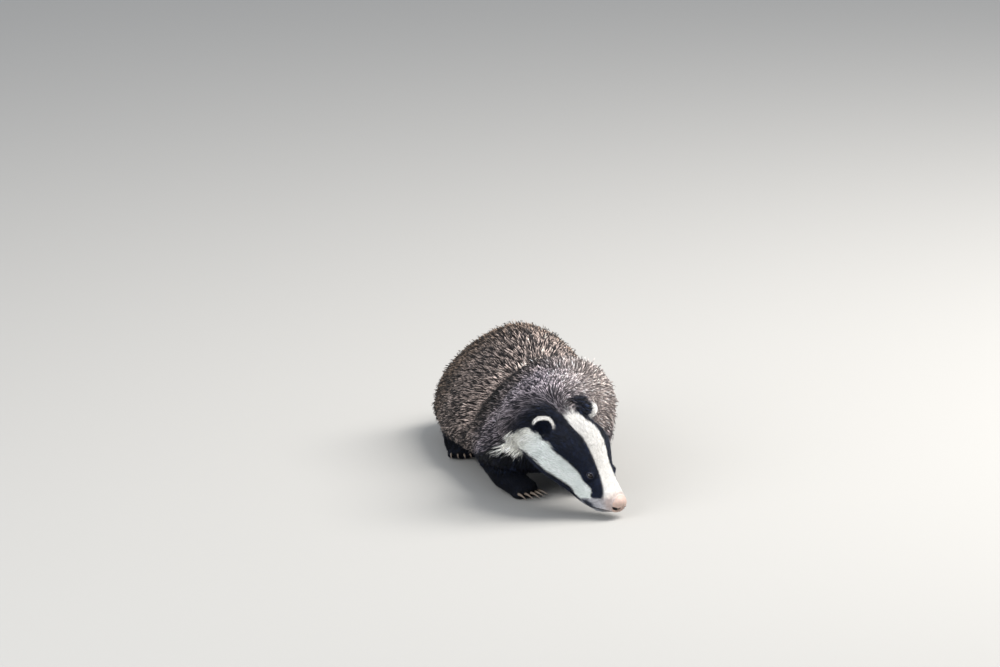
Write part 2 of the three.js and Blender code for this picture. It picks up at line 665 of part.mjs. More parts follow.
function badger() {
  const animal = new THREE.Group();
  const headGroup = new THREE.Group();
  headGroup.applyMatrix4(HEAD_FRAME);
  const { head, jaw, nose, eyes, ears } = headPieces();
  headGroup.add(
    mesh('head', head, MATERIALS.face),
    mesh('lower_jaw', jaw, MATERIALS.jaw),
    mesh('nose_pad', nose, MATERIALS.nose),
  );
  const { torso, neck, tail } = bodyPieces();
  animal.add(
    mesh('torso', torso, MATERIALS.coat),
    mesh('neck', neck, MATERIALS.neckCoat),
    mesh('tail', tail, MATERIALS.tail),
    headGroup,
  );
  ['left', 'right'].forEach((side) => {
    headGroup.add(
      mesh(`eye_${side}`, eyes[side], MATERIALS.eye),
      mesh(`ear_${side}`, ears[side], MATERIALS.dark),
    );
    animal.add(
      mesh(`foreleg_${side}`, leg(FORELEGS[side], FORE_CLAW), MATERIALS.dark),
      mesh(`hindleg_${side}`, leg(HINDLEGS[side], HIND_CLAW), MATERIALS.dark),
    );
  });
  return animal;
}

// The origin goes under the middle of the whole box.
const model = badger();
model.updateMatrixWorld(true);
const box = new THREE.Box3().setFromObject(model, true);
model.position.set(-(box.min.x + box.max.x) / 2, -(box.min.y + box.max.y) / 2, -box.min.z);

export default model;
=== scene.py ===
"""A still, life-size european badger that noses along the ground, as a museum shows it.

One skin covers the whole body. The coat is a thatch of tapered mesh tufts that grow from the skin and
follow its lie. Shapes are worked out in millimetres with numpy and put into the meshes in metres. Places
are written as forward, left, up, and the head has axes of its own, as in the part's source.
"""

from functools import lru_cache

import bmesh
import bpy
import numpy as np
from mathutils import Matrix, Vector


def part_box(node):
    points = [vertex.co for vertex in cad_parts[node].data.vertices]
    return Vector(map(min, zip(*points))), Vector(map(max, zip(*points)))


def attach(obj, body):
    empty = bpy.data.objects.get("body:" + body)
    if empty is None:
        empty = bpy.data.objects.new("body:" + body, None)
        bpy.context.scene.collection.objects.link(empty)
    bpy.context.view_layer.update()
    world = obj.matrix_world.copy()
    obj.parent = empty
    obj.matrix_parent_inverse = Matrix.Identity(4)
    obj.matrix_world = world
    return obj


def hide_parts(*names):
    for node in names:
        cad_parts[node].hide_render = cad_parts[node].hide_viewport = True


bl_info = {
    "name": "European Badger",
    "version": (1, 0, 0),
    "blender": (4, 5, 0),
    "location": "3D View > Sidebar > Badger",
    "description": "Builds the skin, coat, eyes and claws of a life-size badger model",
    "category": "Add Mesh",
}

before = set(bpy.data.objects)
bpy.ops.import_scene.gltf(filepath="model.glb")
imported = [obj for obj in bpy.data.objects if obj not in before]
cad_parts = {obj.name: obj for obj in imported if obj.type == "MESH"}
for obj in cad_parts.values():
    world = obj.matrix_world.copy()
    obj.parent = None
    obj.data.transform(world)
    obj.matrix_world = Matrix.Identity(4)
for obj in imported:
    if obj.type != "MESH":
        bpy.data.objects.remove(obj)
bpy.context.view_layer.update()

# Millimetres to metres
MM = 0.001

# The head: the place midway between the ears, and how far it is turned left, lowered and rolled
HEAD_AT = (118, -4, 98)
HEAD_TURN, HEAD_LOWERED, HEAD_ROLL = np.radians([43.6, 40.1, 5.5])
EYE_AT = (79, 22.6, 6.5)
EAR_AT = (1, 47, 13)
EAR_RADII = (14.5, 17, 9)
# The hollow of an ear: half its width and height, how far up its middle lies, its depth and its brim
EAR_CUP_RADII, EAR_CUP_UP = (12.2, 14.6), 1.2
EAR_CUP_DEPTH = 11.16
EAR_CUP_AT = 7.56
BELLY = 21

# The trunk from the rump to the chest: forward, left and up of its axis, half width, heights of its top and
# bottom, squareness above and below, how much squarer its left shoulder is, and its lean to the left
TRUNK = np.array([
    [-322, 0, 66, 46, 102, 34, 2, 2, 0, 0],
    [-290, -2, 52, 85, 124, 23, 2, 2.6, 0, 0.03],
    [-245, -4, 42, 101, 150, BELLY, 1.75, 2.9, 0, 0.05],
    [-190, -5, 40, 104, 155, BELLY, 1.65, 3, 0, 0.06],
    [-130, -7, 41, 102, 150, BELLY, 1.7, 3, 0, 0.08],
    [-75, -8, 45, 94, 139, BELLY, 1.9, 2.8, 0, 0.15],
    [-25, -6, 48, 87, 155, BELLY, 2.15, 2, 0.25, 0.26],
    [20, -5, 50, 83, 153, BELLY, 2.2, 2.3, 0.25, 0.27],
    [62, -3, 59, 71, 143, 29, 2, 2.2, 0.1, 0.2],
    [92, -3, 69, 53, 127, 41, 2, 2, 0, 0.1],
])

# The head from the nape to the nose: forward and up of its axis, half width, height above and depth below,
# and squareness above and below
HEAD = np.array([
    [-46, -4, 49, 31, 38, 2.1, 2.2],
    [-18, -5, 54, 33, 42, 2.1, 2.3],
    [12, -6, 57, 37, 41, 2.4, 2.3],
    [36, -6, 55, 39, 37, 2.9, 2.3],
    [56, -6, 45, 34, 33, 2.8, 2.3],
    [76, -5, 33, 24, 31, 2.5, 2.3],
    [94, -4, 24, 17, 32, 2.4, 2.3],
    [110, -3, 18.5, 12.5, 27, 2.3, 2.3],
    [122, -2, 15, 10, 15, 2.2, 2.2],
    [130, -1, 11, 7.5, 9, 2.2, 2.2],
])

# The tail: forward, left and up of its axis, half width, height above and depth below
TAIL = np.array([
    [-282, -3, 82, 20, 19, 20],
    [-322, -3, 67, 25, 22, 24],
    [-351, -3, 45, 23, 20, 21],
    [-368, -3, 22, 10, 10, 10],
])

SIDES = {"left": 1, "right": -1}
# The legs: joints from the elbow or knee to the paw, with the half width and half depth at each
FORELEG_JOINTS = {
    "left": [[-12, 48, 54], [-2, 56, 36], [32, 54, 19], [66, 49, 10]],
    "right": [[-10, -54, 54], [2, -65, 37], [42, -56, 20], [70, -36, 10]],
}
FORELEG_GIRTH = [[21, 19, 17, 18], [22, 19, 14, 11]]
HINDLEG_JOINTS = [[-168, 68, 44], [-200, 79, 22], [-166, 81, 11], [-132, 79, 10]]
HINDLEG_GIRTH = [[22, 17, 16, 16], [24, 15, 12, 11]]
# The hips lie this far to the right of the middle
HIP_SHIFT = 5
TOE_RADII = (4.6, 6.2, 9)
TOE_SPACING = 7
TOE_HEIGHT = 6.5

# The line between the lips, as forward and up in the head's own frame, from the nose to the corner
MOUTH = np.array([[136, -8], [124, -11.5], [114, -18], [104, -24.5], [94, -27.5], [86, -27]])


def place(spot):
    """Points given as forward, left, up, as x, y, z."""
    spot = np.asarray(spot, float)
    return np.stack([spot[..., 1], -spot[..., 0], spot[..., 2]], -1)


def unit(vectors):
    """Vectors divided by their lengths."""
    length = np.linalg.norm(vectors, axis=-1, keepdims=True)
    return vectors / np.maximum(length, 1e-9)


def dot(a, b):
    """The products of vectors, one a row."""
    return (a * b).sum(-1)


def square_to(vectors, ways):
    """Vectors without their part along unit vectors."""
    return vectors - ways * dot(vectors, ways)[..., None]


def bell(values, width):
    """1 at zero, falling to both sides as the exponential of minus the square of values / width."""
    return np.exp(-((values / width) ** 2))


def blend(low, high, values):
    """0 below low, 1 above high, and a smooth step between them."""
    x = np.clip((values - low) / (high - low), 0, 1)
    return x * x * (3 - 2 * x)


def mix(a, b, share):
    """a where the share is 0, b where it is 1, and in proportion between."""
    return a + (b - a) * share


def mix_rows(a, b, share):
    """The same for rows of colours or points, each with its own share."""
    return a + (b - a) * np.asarray(share, float)[..., None]


def smooth(knots, values, t):
    """A curve through the values at the knots: the cubic that has, at each knot, the slope that both
    neighbours give. Values may be rows of several numbers."""
    knots, values = np.asarray(knots, float), np.asarray(values, float)
    slope = np.gradient(values, knots, axis=0)
    i = np.clip(np.searchsorted(knots, t, side="right") - 1, 0, len(knots) - 2)
    step = knots[i + 1] - knots[i]
    x = (t - knots[i]) / step
    if values.ndim > 1:
        x, step = x[..., None], step[..., None]
    rest = 1 - x
    ends = values[i] * rest**2 * (1 + 2 * x) + values[i + 1] * x**2 * (3 - 2 * x)
    return ends + (slope[i] * rest - slope[i + 1] * x) * step * x * rest


def held(table, t):
    """The smooth curve through a table of two columns, which keeps its end values beyond its ends."""
    return smooth(*table.T, np.clip(t, table[0, 0], table[-1, 0]))


def basis_at(point, look, upward):
    """A frame at a point, as its origin and the rows of its axes: z looks one way, and y lies as near as
    can be to another."""
    z = unit(np.asarray(look, float))
    x = unit(np.cross(upward, z))
    return np.asarray(point, float), np.stack([x, np.cross(z, x), z])


def into(basis, points):
    """Points in a frame's own axes."""
    origin, axes = basis
    return (points - origin) @ axes.T


def out_of(basis, points):
    """Points of a frame's own axes in the model's."""
    origin, axes = basis
    return points @ axes + origin


def head_basis():
    """The head's frame: x to its left, y backward from the nose and z to its crown."""
    forward = place([
        np.cos(HEAD_LOWERED) * np.cos(HEAD_TURN),
        np.cos(HEAD_LOWERED) * np.sin(HEAD_TURN),
        -np.sin(HEAD_LOWERED),
    ])
    level = place([-np.sin(HEAD_TURN), np.cos(HEAD_TURN), 0])
    upright = -np.cross(forward, level)
    left = level * np.cos(HEAD_ROLL) + upright * np.sin(HEAD_ROLL)
    return place(HEAD_AT), np.stack([left, -forward, np.cross(left, -forward)])


HEAD_BASIS = head_basis()
CROWN = HEAD_BASIS[1][2]


def on_head(spot):
    """Points given as forward, left, up of the head, in the model's axes."""
    return out_of(HEAD_BASIS, place(spot))


def along_head(way):
    """Ways given as forward, left, up of the head, in the model's axes."""
    return place(way) @ HEAD_BASIS[1]


def head_places(points):
    """Forward, left and up of points in the head's own frame."""
    x, y, z = into(HEAD_BASIS, points).T
    return -y, x, z


def eye_basis(side):
    """The frame of an eye, which looks outward, forward and a little up."""
    forward, left, up = EYE_AT
    look = along_head([0.42, side * 0.84, 0.35])
    return basis_at(on_head([forward, side * left, up]), look, CROWN)


def ear_basis(side):
    """The frame of an ear, whose cup looks forward and outward and whose y runs up to its tip."""
    forward, left, up = EAR_AT
    look = along_head([0.72, side * 0.66, -0.12])
    upward = along_head([-0.1, side * 0.34, 1])
    return basis_at(on_head([forward, side * left, up]) + (side > 0) * 3 * upward, look, upward)


def model_shift():
    """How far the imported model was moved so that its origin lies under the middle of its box."""
    low, high = (np.array(corner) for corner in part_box("eye_right"))
    forward, left, up = EYE_AT
    return (low + high) / 2 / MM - on_head([forward, -left, up])


SHIFT = model_shift()


class Loft:
    """A body whose sections are carried along a path. Each section is a superellipse with a half width, a
    height above and a depth below the path, a power of its outline above and below, a left shoulder that
    may be squarer than the right one, and a top that leans to the left. Both ends are rounded by a quarter
    ellipse that scales the section down."""

    def __init__(self, path, side, round_start, round_finish, **shape):
        self.path = np.asarray(path, float)
        steps = np.linalg.norm(np.diff(self.path, axis=0), axis=1)
        self.knots = np.concatenate([[0], np.cumsum(steps)])
        self.length = self.knots[-1]
        self.sides = np.broadcast_to(side, self.path.shape)
        self.round_start, self.round_finish = round_start, round_finish
        plain = {"crest": 2, "keel": 2, "skew": 0, "lean": 0, "coat": 0}
        self.shape = {
            name: np.broadcast_to(np.asarray(value, float), self.knots.shape)
            for name, value in {**plain, **shape}.items()
        }

    def value(self, name, t):
        """A measure of the section at a distance along the path."""
        return smooth(self.knots, self.shape[name], t)

    def at(self, t):
        """The path's point at a distance along it."""
        return smooth(self.knots, self.path, t)

    def frame(self, t):
        """The path's direction from a short chord, the level way across it and the way up."""
        ahead = self.at(np.minimum(t + 0.5, self.length))
        forward = unit(ahead - self.at(np.maximum(t - 0.5, 0)))
        across = smooth(self.knots, self.sides, t)
        across = unit(square_to(across, forward))
        return forward, across, np.cross(forward, across)

    def ends(self, t):
        """The shares of full size that both ends leave: the height of a quarter ellipse."""
        start = np.clip(t / self.round_start, 0, 1)
        finish = np.clip((self.length - t) / self.round_finish, 0, 1)
        return np.sqrt(1 - (1 - start) ** 2), np.sqrt(1 - (1 - finish) ** 2)

    def power(self, t, cosine, upper):
        """The power of the section's outline, raised above the path on the left side by the skew."""
        crest = self.value("crest", t) * (1 + self.value("skew", t) * cosine)
        return np.where(upper, crest, self.value("keel", t))

    def point(self, t, angle, grow=0.0):
        """The surface's point at a distance along the path and an angle round it from the left: the
        sine and cosine, each raised to 2 / power, times the height and the half width, moved out by
        grow."""
        t, angle = np.broadcast_arrays(np.asarray(t, float), np.asarray(angle, float))
        forward, across, up = self.frame(t)
        start, finish = self.ends(t)
        sine, cosine = np.sin(angle), np.cos(angle)
        share = 2 / self.power(t, cosine, sine > 0)
        height = np.where(sine > 0, self.value("above", t), self.value("below", t)) + grow
        rise = start * finish * height * np.sign(sine) * np.abs(sine) ** share
        wide = self.value("wide", t) + grow
        reach = start * finish * wide * np.sign(cosine) * np.abs(cosine) ** share
        sideways = (reach + self.value("lean", t) * rise)[..., None]
        length = (grow * (start - finish))[..., None]
        return self.at(t) + across * sideways + up * rise[..., None] + forward * length

    def find(self, points):
        """The distance along the path, the angle and the height over the surface of the nearest section
        of each point: the nearest of many samples, then four steps along the path's direction."""
        samples = np.linspace(0, self.length, 4 * len(self.path))
        spots = self.at(samples)
        gaps = (spots**2).sum(1) - 2 * points @ spots.T
        t = samples[gaps.argmin(1)]
        for _ in range(4):
            forward, across, up = self.frame(t)
            t = np.clip(t + dot(points - self.at(t), forward), 0, self.length)
        forward, across, up = self.frame(t)
        offset = points - self.at(t)
        rise = dot(offset, up)
        reach = dot(offset, across) - self.value("lean", t) * rise
        start, finish = self.ends(t)
        size = np.maximum(start * finish, 0.02)
        height = np.where(rise > 0, self.value("above", t), self.value("below", t)) * size
        wide = self.value("wide", t) * size
        turn = reach / np.maximum(np.hypot(reach, rise), 1e-9)
        power = self.power(t, turn, rise > 0)
        up_share = np.abs(rise / height) ** (power / 2)
        out_share = np.abs(reach / wide) ** (power / 2)
        angle = np.arctan2(np.sign(rise) * up_share, np.sign(reach) * out_share)
        level = np.maximum(up_share**2 + out_share**2, 1e-9) ** (1 / power)
        return t, angle, np.linalg.norm(offset, axis=1) * (1 - 1 / level)

    def coat_at(self, t, angle):
        """The coat's depth, which thins to two fifths on the underside."""
        return self.value("coat", t) * mix(0.4, 1, (1 + np.sin(angle)) / 2)

    def shell(self, along, around, grow):
        """The vertices and faces of the closed surface: a grid of rings that lie closer towards the ends,
        and a point at each end. grow is a function of the distance and the angle."""
        share = np.linspace(0, 1, along + 1)[1:-1]
        t = self.length * (0.45 * share + 0.275 * (1 - np.cos(np.pi * share)))
        t, angle = np.meshgrid(t, np.arange(around) * 2 * np.pi / around, indexing="ij")
        rings = self.point(t, angle, grow(t, angle)).reshape(-1, 3)
        ends = np.array([0, self.length])
        poles = self.point(ends, np.zeros(2), grow(ends, np.zeros(2)))
        return np.concatenate([rings, poles]), tube_faces(along - 1, around)


def tube_faces(rings, around):
    """Faces of a tube of rings, with a fan to a point at each end: the last two vertices."""
    rows, columns = np.meshgrid(np.arange(rings - 1), np.arange(around), indexing="ij")
    here, there = rows * around + columns, rows * around + (columns + 1) % around
    quads = np.stack([here, there, there + around, here + around], -1).reshape(-1, 4)
    column = np.arange(around)
    after = (column + 1) % around
    first, last = np.full(around, rings * around), (rings - 1) * around
    start = np.stack([first, after, column], -1)
    finish = np.stack([first + 1, last + column, last + after], -1)
    return quads[:, ::-1].tolist() + start[:, ::-1].tolist() + finish[:, ::-1].tolist()


LEFT = np.array([1.0, 0, 0])
# The coat's depth over the core at its thickest
TRUNK_COAT, NAPE_COAT, TAIL_COAT = 22, 8, 14


def trunk_loft():
    """The trunk out to the tips of its hair."""
    forward, left, up, wide, top, bottom, crest, keel, skew, lean = TRUNK.T
    path = place(np.stack([forward, left, up], -1))
    return Loft(path, LEFT, 34, 40, wide=wide, above=top - up, below=up - bottom, crest=crest,
                keel=keel, skew=skew, lean=lean, coat=TRUNK_COAT)


def head_loft():
    """The head without the ears, carried along its own forward axis."""
    forward, up, wide, above, below, crest, keel = HEAD.T
    path = on_head(np.stack([forward, 0 * forward, up], -1))
    return Loft(path, HEAD_BASIS[1][0], 26, 7, wide=wide, above=above, below=below, crest=crest, keel=keel)


def neck_loft():
    """One bend from the withers to the back of the head: the cubic with a set place and slope at each
    end, whose sections turn and shrink from the shoulders' to the nape's."""
    s = np.linspace(0, 1, 7)
    share = s[:, None]
    start, finish = place([-10, 5, 79]), on_head([3, -4, -8])
    set_off, arrive = place([110, 4, 36]), along_head([90, 0, 0])
    path = (start * (1 - 3 * share**2 + 2 * share**3) + set_off * (share - 2 * share**2 + share**3)
            + finish * (3 * share**2 - 2 * share**3) + arrive * (share**3 - share**2))
    side = mix_rows(LEFT, HEAD_BASIS[1][0], s)
    return Loft(path, side, 30, 30, wide=mix(78, 55, np.sqrt(s)), above=mix(70, 38, s),
                below=mix(46, 42, s), skew=mix(0.2, 0, s), lean=mix(0.2, 0, s),
                coat=mix(TRUNK_COAT, NAPE_COAT, s))


def tail_loft():
    """The tail out to the tips of its hair."""
    forward, left, up, wide, above, below = TAIL.T
    path = place(np.stack([forward, left, up], -1))
    return Loft(path, LEFT, 16, 8, wide=wide, above=above, below=below, coat=TAIL_COAT)


def limb_lofts(joints, girth):
    """The straight lengths of a limb, each carried on past its joints by a round end."""
    joints = place(joints)
    wide, deep = np.asarray(girth, float)
    lengths = []
    for i in range(len(joints) - 1):
        along = unit(joints[i + 1] - joints[i])
        path = np.stack([joints[i] - along * deep[i], joints[i + 1] + along * deep[i + 1]])
        both = deep[i:i + 2]
        lengths.append(Loft(path, LEFT, *both, wide=wide[i:i + 2], above=both, below=both))
    return lengths


def hind_joints(side):
    """The joints of a hind leg, mirrored about the hips' own middle."""
    return [[forward, side * left - HIP_SHIFT, up] for forward, left, up in HINDLEG_JOINTS]


LIMB_JOINTS = {
    **{f"foreleg_{name}": joints for name, joints in FORELEG_JOINTS.items()},
    **{f"hindleg_{name}": hind_joints(side) for name, side in SIDES.items()},
}
LIMBS = {
    name: limb_lofts(joints, FORELEG_GIRTH if name.startswith("fore") else HINDLEG_GIRTH)
    for name, joints in LIMB_JOINTS.items()
}
TRUNK_FORM, NECK_FORM, HEAD_FORM, TAIL_FORM = trunk_loft(), neck_loft(), head_loft(), tail_loft()


def toe_bases(limb):
    """The frame of each toe of a paw, fanned out across its front, with z along the toe."""
    wrist, middle = place(LIMB_JOINTS[limb][-2:])
    forward = unit((middle - wrist) * [1, 1, 0])
    across = np.cross([0, 0, 1], forward)
    bases = []
    for i in range(-2, 3):
        spot = middle + forward * (2 - 2.2 * abs(i)) + across * i * TOE_SPACING
        spot[2] = TOE_HEIGHT
        bases.append(basis_at(spot, forward + 0.1 * i * across, [0, 0, 1]))
    return bases


def lathe(basis, out, along, around, radii=1):
    """A profile turned about the z of a frame, closed by a point at each end and scaled by radii: its
    distances from the axis, times the cosine and sine of the turn, and those along the axis."""
    turn = np.arange(around) * 2 * np.pi / around
    rings = np.stack(np.broadcast_arrays(
        out[1:-1, None] * np.cos(turn), out[1:-1, None] * np.sin(turn), along[1:-1, None]
    ), -1)
    points = np.concatenate([rings.reshape(-1, 3), [[0, 0, along[0]], [0, 0, along[-1]]]])
    return out_of(basis, points * radii), tube_faces(len(out) - 2, around)


def ball(basis, radii, around=24):
    """An ellipsoid with its radii along the axes of a frame: a half circle turned and scaled."""
    share = np.linspace(0, np.pi, around // 2 + 1)
    return lathe(basis, np.sin(share), -np.cos(share), around, radii)


def put_in_scene(name, data):
    """An object that shows some data."""
    piece = bpy.data.objects.new(name, data)
    bpy.context.collection.objects.link(piece)
    return piece


def new_object(name, points, faces):
    """A mesh object from points in millimetres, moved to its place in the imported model."""
    mesh = bpy.data.meshes.new(name)
    mesh.from_pydata(((points + SHIFT) * MM).tolist(), [], faces)
    return put_in_scene(name, mesh)


def read_numbers(items, name, width=1, kind=float):
    """What each of a mesh's items holds under a name, as rows of some numbers."""
    values = np.empty(len(items) * width, dtype=kind)
    items.foreach_get(name, values)
    return values.reshape(-1, width)


def points_of(mesh):
    """The vertices of a mesh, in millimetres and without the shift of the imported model."""
    return read_numbers(mesh.vertices, "co", 3) / MM - SHIFT


def set_points(mesh, points):
    """Moves the vertices of a mesh, from the same millimetres."""
    mesh.vertices.foreach_set("co", ((points + SHIFT) * MM).ravel())
    mesh.update()


def shade_smooth(mesh):
    """Lets the light run on from face to face."""
    mesh.polygons.foreach_set("use_smooth", np.ones(len(mesh.polygons), dtype=bool))
    mesh.update()


def set_hair_colours(mesh, shades):
    """Writes a colour for each vertex into the attribute that the materials read."""
    rgba = np.concatenate([np.clip(shades, 0, 1), np.ones((len(shades), 1))], -1)
    layer = mesh.color_attributes.new(name="Hair", type="FLOAT_COLOR", domain="POINT")
    layer.data.foreach_set("color", rgba.ravel().astype(np.float32))


def normals_of(mesh):
    """The way out at each vertex."""
    return read_numbers(mesh.vertex_normals, "vector", 3)


def edges_of(mesh):
    """The two vertices of each edge."""
    return read_numbers(mesh.edges, "vertices", 2, np.int64)


def triangles_of(mesh):
    """The three vertices of each triangle."""
    mesh.calc_loop_triangles()
    return read_numbers(mesh.loop_triangles, "vertices", 3, np.int64)


def neighbour_mean(values, edges, rounds):
    """Values at vertices, each replaced by the mean of its neighbours' and its own, some rounds long."""
    count = len(values)
    both = np.concatenate([edges, edges[:, ::-1]])
    share = 1 / (np.bincount(both[:, 0], minlength=count) + 1)
    values = values.reshape(count, -1).astype(float)
    for _ in range(rounds):
        sums = [np.bincount(both[:, 0], column[both[:, 1]], count) for column in values.T]
        values = (np.stack(sums, -1) + values) * share[:, None]
    return values


def relax(mesh, rounds, where=None):
    """Evens the surface out without shrinking it: a step towards the neighbours' mean, then a slightly
    longer one back. where is the share that each vertex moves by."""
    points, edges = points_of(mesh), edges_of(mesh)
    weight = 1 if where is None else where[:, None]
    for step in [0.6, -0.63] * rounds:
        points = points + step * weight * (neighbour_mean(points, edges, 1) - points)
    set_points(mesh, points)


# The fold behind the shoulders: how far forward it lies, half its width and its depth
FOLD_AT, FOLD_WIDTH, FOLD_DEPTH = -60, 16, 11
# How far the skin lies inside the solids where they have no locks of their own
HEAD_FUR_DEPTH = np.array([
    [-46, 8], [-18, 7], [12, 5], [36, 3.5], [60, 2.4], [80, 1.6], [100, 1], [130, 0.3],
])
EAR_FUR_DEPTH = 1.5
LIMB_FUR_DEPTH = (7, 5, 2, 1)
TOE_FUR_DEPTH = 0.6
# The width of the skin's faces on the body
VOXEL = 3.2
# The face, where the skin is finer: how far it reaches up or down and to each side
FACE_HALF_HEIGHT, FACE_HALF_WIDTH = 60, 70


def skin_shells():
    """The closed surfaces that the skin joins: the cores of trunk, neck and tail, which lie half the
    coat's depth in, and head, ears and legs under their shorter fur."""
    shells = [
        form.shell(60, 64, lambda t, angle, form=form: -form.coat_at(t, angle) / 2)
        for form in (TRUNK_FORM, NECK_FORM, TAIL_FORM)
    ]

    def head_sink(t, angle):
        forward = HEAD_FORM.at(t)
        return -smooth(*HEAD_FUR_DEPTH.T, head_places(forward.reshape(-1, 3))[0]).reshape(t.shape)

    shells.append(HEAD_FORM.shell(70, 72, head_sink))
    for side in SIDES.values():
        shells.append(ball(ear_basis(side), np.array(EAR_RADII) - EAR_FUR_DEPTH))
    for name, lengths in LIMBS.items():
        for form, upper, lower in zip(lengths, LIMB_FUR_DEPTH, LIMB_FUR_DEPTH[1:]):
            shells.append(form.shell(
                14, 24, lambda t, angle, form=form, a=upper, b=lower: -mix(a, b, t / form.length)
            ))
        for basis in toe_bases(name):
            shells.append(ball(basis, np.array(TOE_RADII) - TOE_FUR_DEPTH, 16))
    return shells


def join_shells(shells):
    """Several closed surfaces as the points and faces of one mesh."""
    points, faces, count = [], [], 0
    for spots, corners in shells:
        points.append(spots)
        faces.extend([[corner + count for corner in face] for face in corners])
        count += len(spots)
    return np.concatenate(points), faces


def applied(piece):
    """The piece's mesh with its modifiers applied."""
    mesh = bpy.data.meshes.new_from_object(piece.evaluated_get(bpy.context.evaluated_depsgraph_get()))
    piece.modifiers.clear()
    old, piece.data = piece.data, mesh
    bpy.data.meshes.remove(old)
    return mesh


def split_faces(mesh, chosen):
    """Cuts the faces that have a chosen vertex into four."""
    work = bmesh.new()
    work.from_mesh(mesh)
    work.verts.ensure_lookup_table()
    edges = {edge for i in np.nonzero(chosen)[0] for edge in work.verts[i].link_edges}
    bmesh.ops.subdivide_edges(work, edges=list(edges), cuts=1, use_grid_fill=True)
    bmesh.ops.triangulate(work, faces=[face for face in work.faces if len(face.verts) > 4])
    work.to_mesh(mesh)
    work.free()
    mesh.update()


def on_face(mesh, nape):
    """Which vertices lie on the face, ahead of a place on the head."""
    forward, left, up = head_places(points_of(mesh))
    return (forward > nape) & (np.abs(up) < FACE_HALF_HEIGHT) & (np.abs(left) < FACE_HALF_WIDTH)


def near_features(points, reach):
    """Which points lie on the nose or within reach of an eye, and on the ears if the reach is long."""
    forward, left = head_places(points)[:2]
    near = (forward > 115 - reach / 2) & (forward < 150) & (np.abs(left) < 40)
    for side in SIDES.values():
        near |= np.linalg.norm(into(eye_basis(side), points), axis=1) < reach
        near |= (reach > 15) & (np.linalg.norm(into(ear_basis(side), points), axis=1) < 26)
    return near


def base_skin():
    """One closed surface round all the shells, finer on the head and finest at the eyes, ears and nose."""
    piece = new_object("skin", *join_shells(skin_shells()))
    remesh = piece.modifiers.new("Remesh", "REMESH")
    remesh.mode = "VOXEL"
    remesh.voxel_size = VOXEL * MM
    mesh = applied(piece)
    relax(mesh, 6)
    split_faces(mesh, on_face(mesh, -14))
    relax(mesh, 4, on_face(mesh, -10))
    for reach in (19, 13):
        split_faces(mesh, near_features(points_of(mesh), reach))
        relax(mesh, 2, on_face(mesh, -10))
    return piece


def press(points, basis, width, height, depth):
    """Moves points against a frame's z by depth * (1 - q), where q is 1 on an ellipse."""
    x, y, z = into(basis, points).T
    inside = np.clip(1 - (x / width) ** 2 - (y / height) ** 2, 0, 1)
    near = 1 - blend(6, 9, np.abs(z))
    return points - basis[1][2] * (near * depth * inside)[:, None]


LID_RADIUS = 6.2
EYE_RADIUS = 5
# The opening between the lids: half its length, and how far it reaches up and down
OPENING_HALF, OPENING_UP, OPENING_DOWN = 4.7, 2.9, 2.2


def eye_opening(x, y):
    """How far a point lies inside the almond between the lids: two parabolas over one chord."""
    half = np.where(y > 0, OPENING_UP, OPENING_DOWN) * (1 - (x / OPENING_HALF) ** 2)
    beyond = np.abs(x) - OPENING_HALF
    return np.where(beyond < 0, half - np.abs(y), -1.0 - beyond)


def shape_lids(points):
    """Lids: the skin rises to a ball round each eye and opens in an almond with a fine raised edge, whose
    floor lies behind the eye. A crease runs over the upper lid and a shallower one under the lower lid."""
    for side in SIDES.values():
        basis = eye_basis(side)
        local = into(basis, points)
        x, y, z = local.T
        flat = np.hypot(x, y)
        near = (flat < 12) & (z > -7) & (z < 14)
        lid = np.sqrt(np.maximum(LID_RADIUS**2 - flat**2, 1))
        raised = mix(lid, z, blend(4.4, 10, flat))
        inside = eye_opening(x, y)
        crease = 0.5 * bell(inside + 1.9, 0.5) * (y > 0)
        bag = 0.3 * bell(inside + 1.6, 0.5) * (y <= 0)
        raised = raised - (crease + bag) * (1 - blend(6, 8, flat))
        raised += 0.35 * bell(inside, 0.4) * (flat < 5.5)
        sunk = np.sqrt(np.maximum(EYE_RADIUS**2 - flat**2, 0)) - 1.1
        local[:, 2] = np.where(near, mix(raised, sunk, blend(0, 0.45, inside)), z)
        points = out_of(basis, local)
    return points


def shape_ears(points):
    """Ears: the front of each is hollowed to the inside of an ellipsoid, which leaves a rounded rim."""
    for side in SIDES.values():
        basis = ear_basis(side)
        local = into(basis, points)
        x, y, z = local.T
        share = (x / EAR_CUP_RADII[0]) ** 2 + ((y - EAR_CUP_UP) / EAR_CUP_RADII[1]) ** 2
        cup = EAR_CUP_AT - EAR_CUP_DEPTH * np.sqrt(np.clip(1 - share, 0, 1)) + 0.6
        hollow = (share < 1) & (z > cup) & (z < 14)
        local[:, 2] = np.where(hollow, cup, z)
        points = out_of(basis, local)
    return points


def mouth_level(forward, up):
    """How far a point lies over the line between the lips, square to it."""
    line = MOUTH[::-1]
    near = np.clip(forward, line[0, 0], line[-1, 0])
    height = held(line, near)
    slope = held(line, near + 1) - height
    return (up - height) / np.sqrt(1 + slope**2)


def nose_pad(forward, left, up):
    """Millimetres that a point lies inside the edge of the bare nose pad, which runs back along the top
    and forward to both sides and below."""
    edge = 116 + 0.024 * left**2 + 0.75 * np.maximum(1 - up, 0)
    return np.minimum(forward - edge, mouth_level(forward, up) - 0.6)


# Where the left nostril's opening and its slit lie and where they look, in the head's own frame
NOSTRIL = ((129.6, 5.8, -3), (1, 0.4, -0.1))
NOSTRIL_SLIT = ((126.3, 10.3, -2.9), (0.5, 1, -0.2))


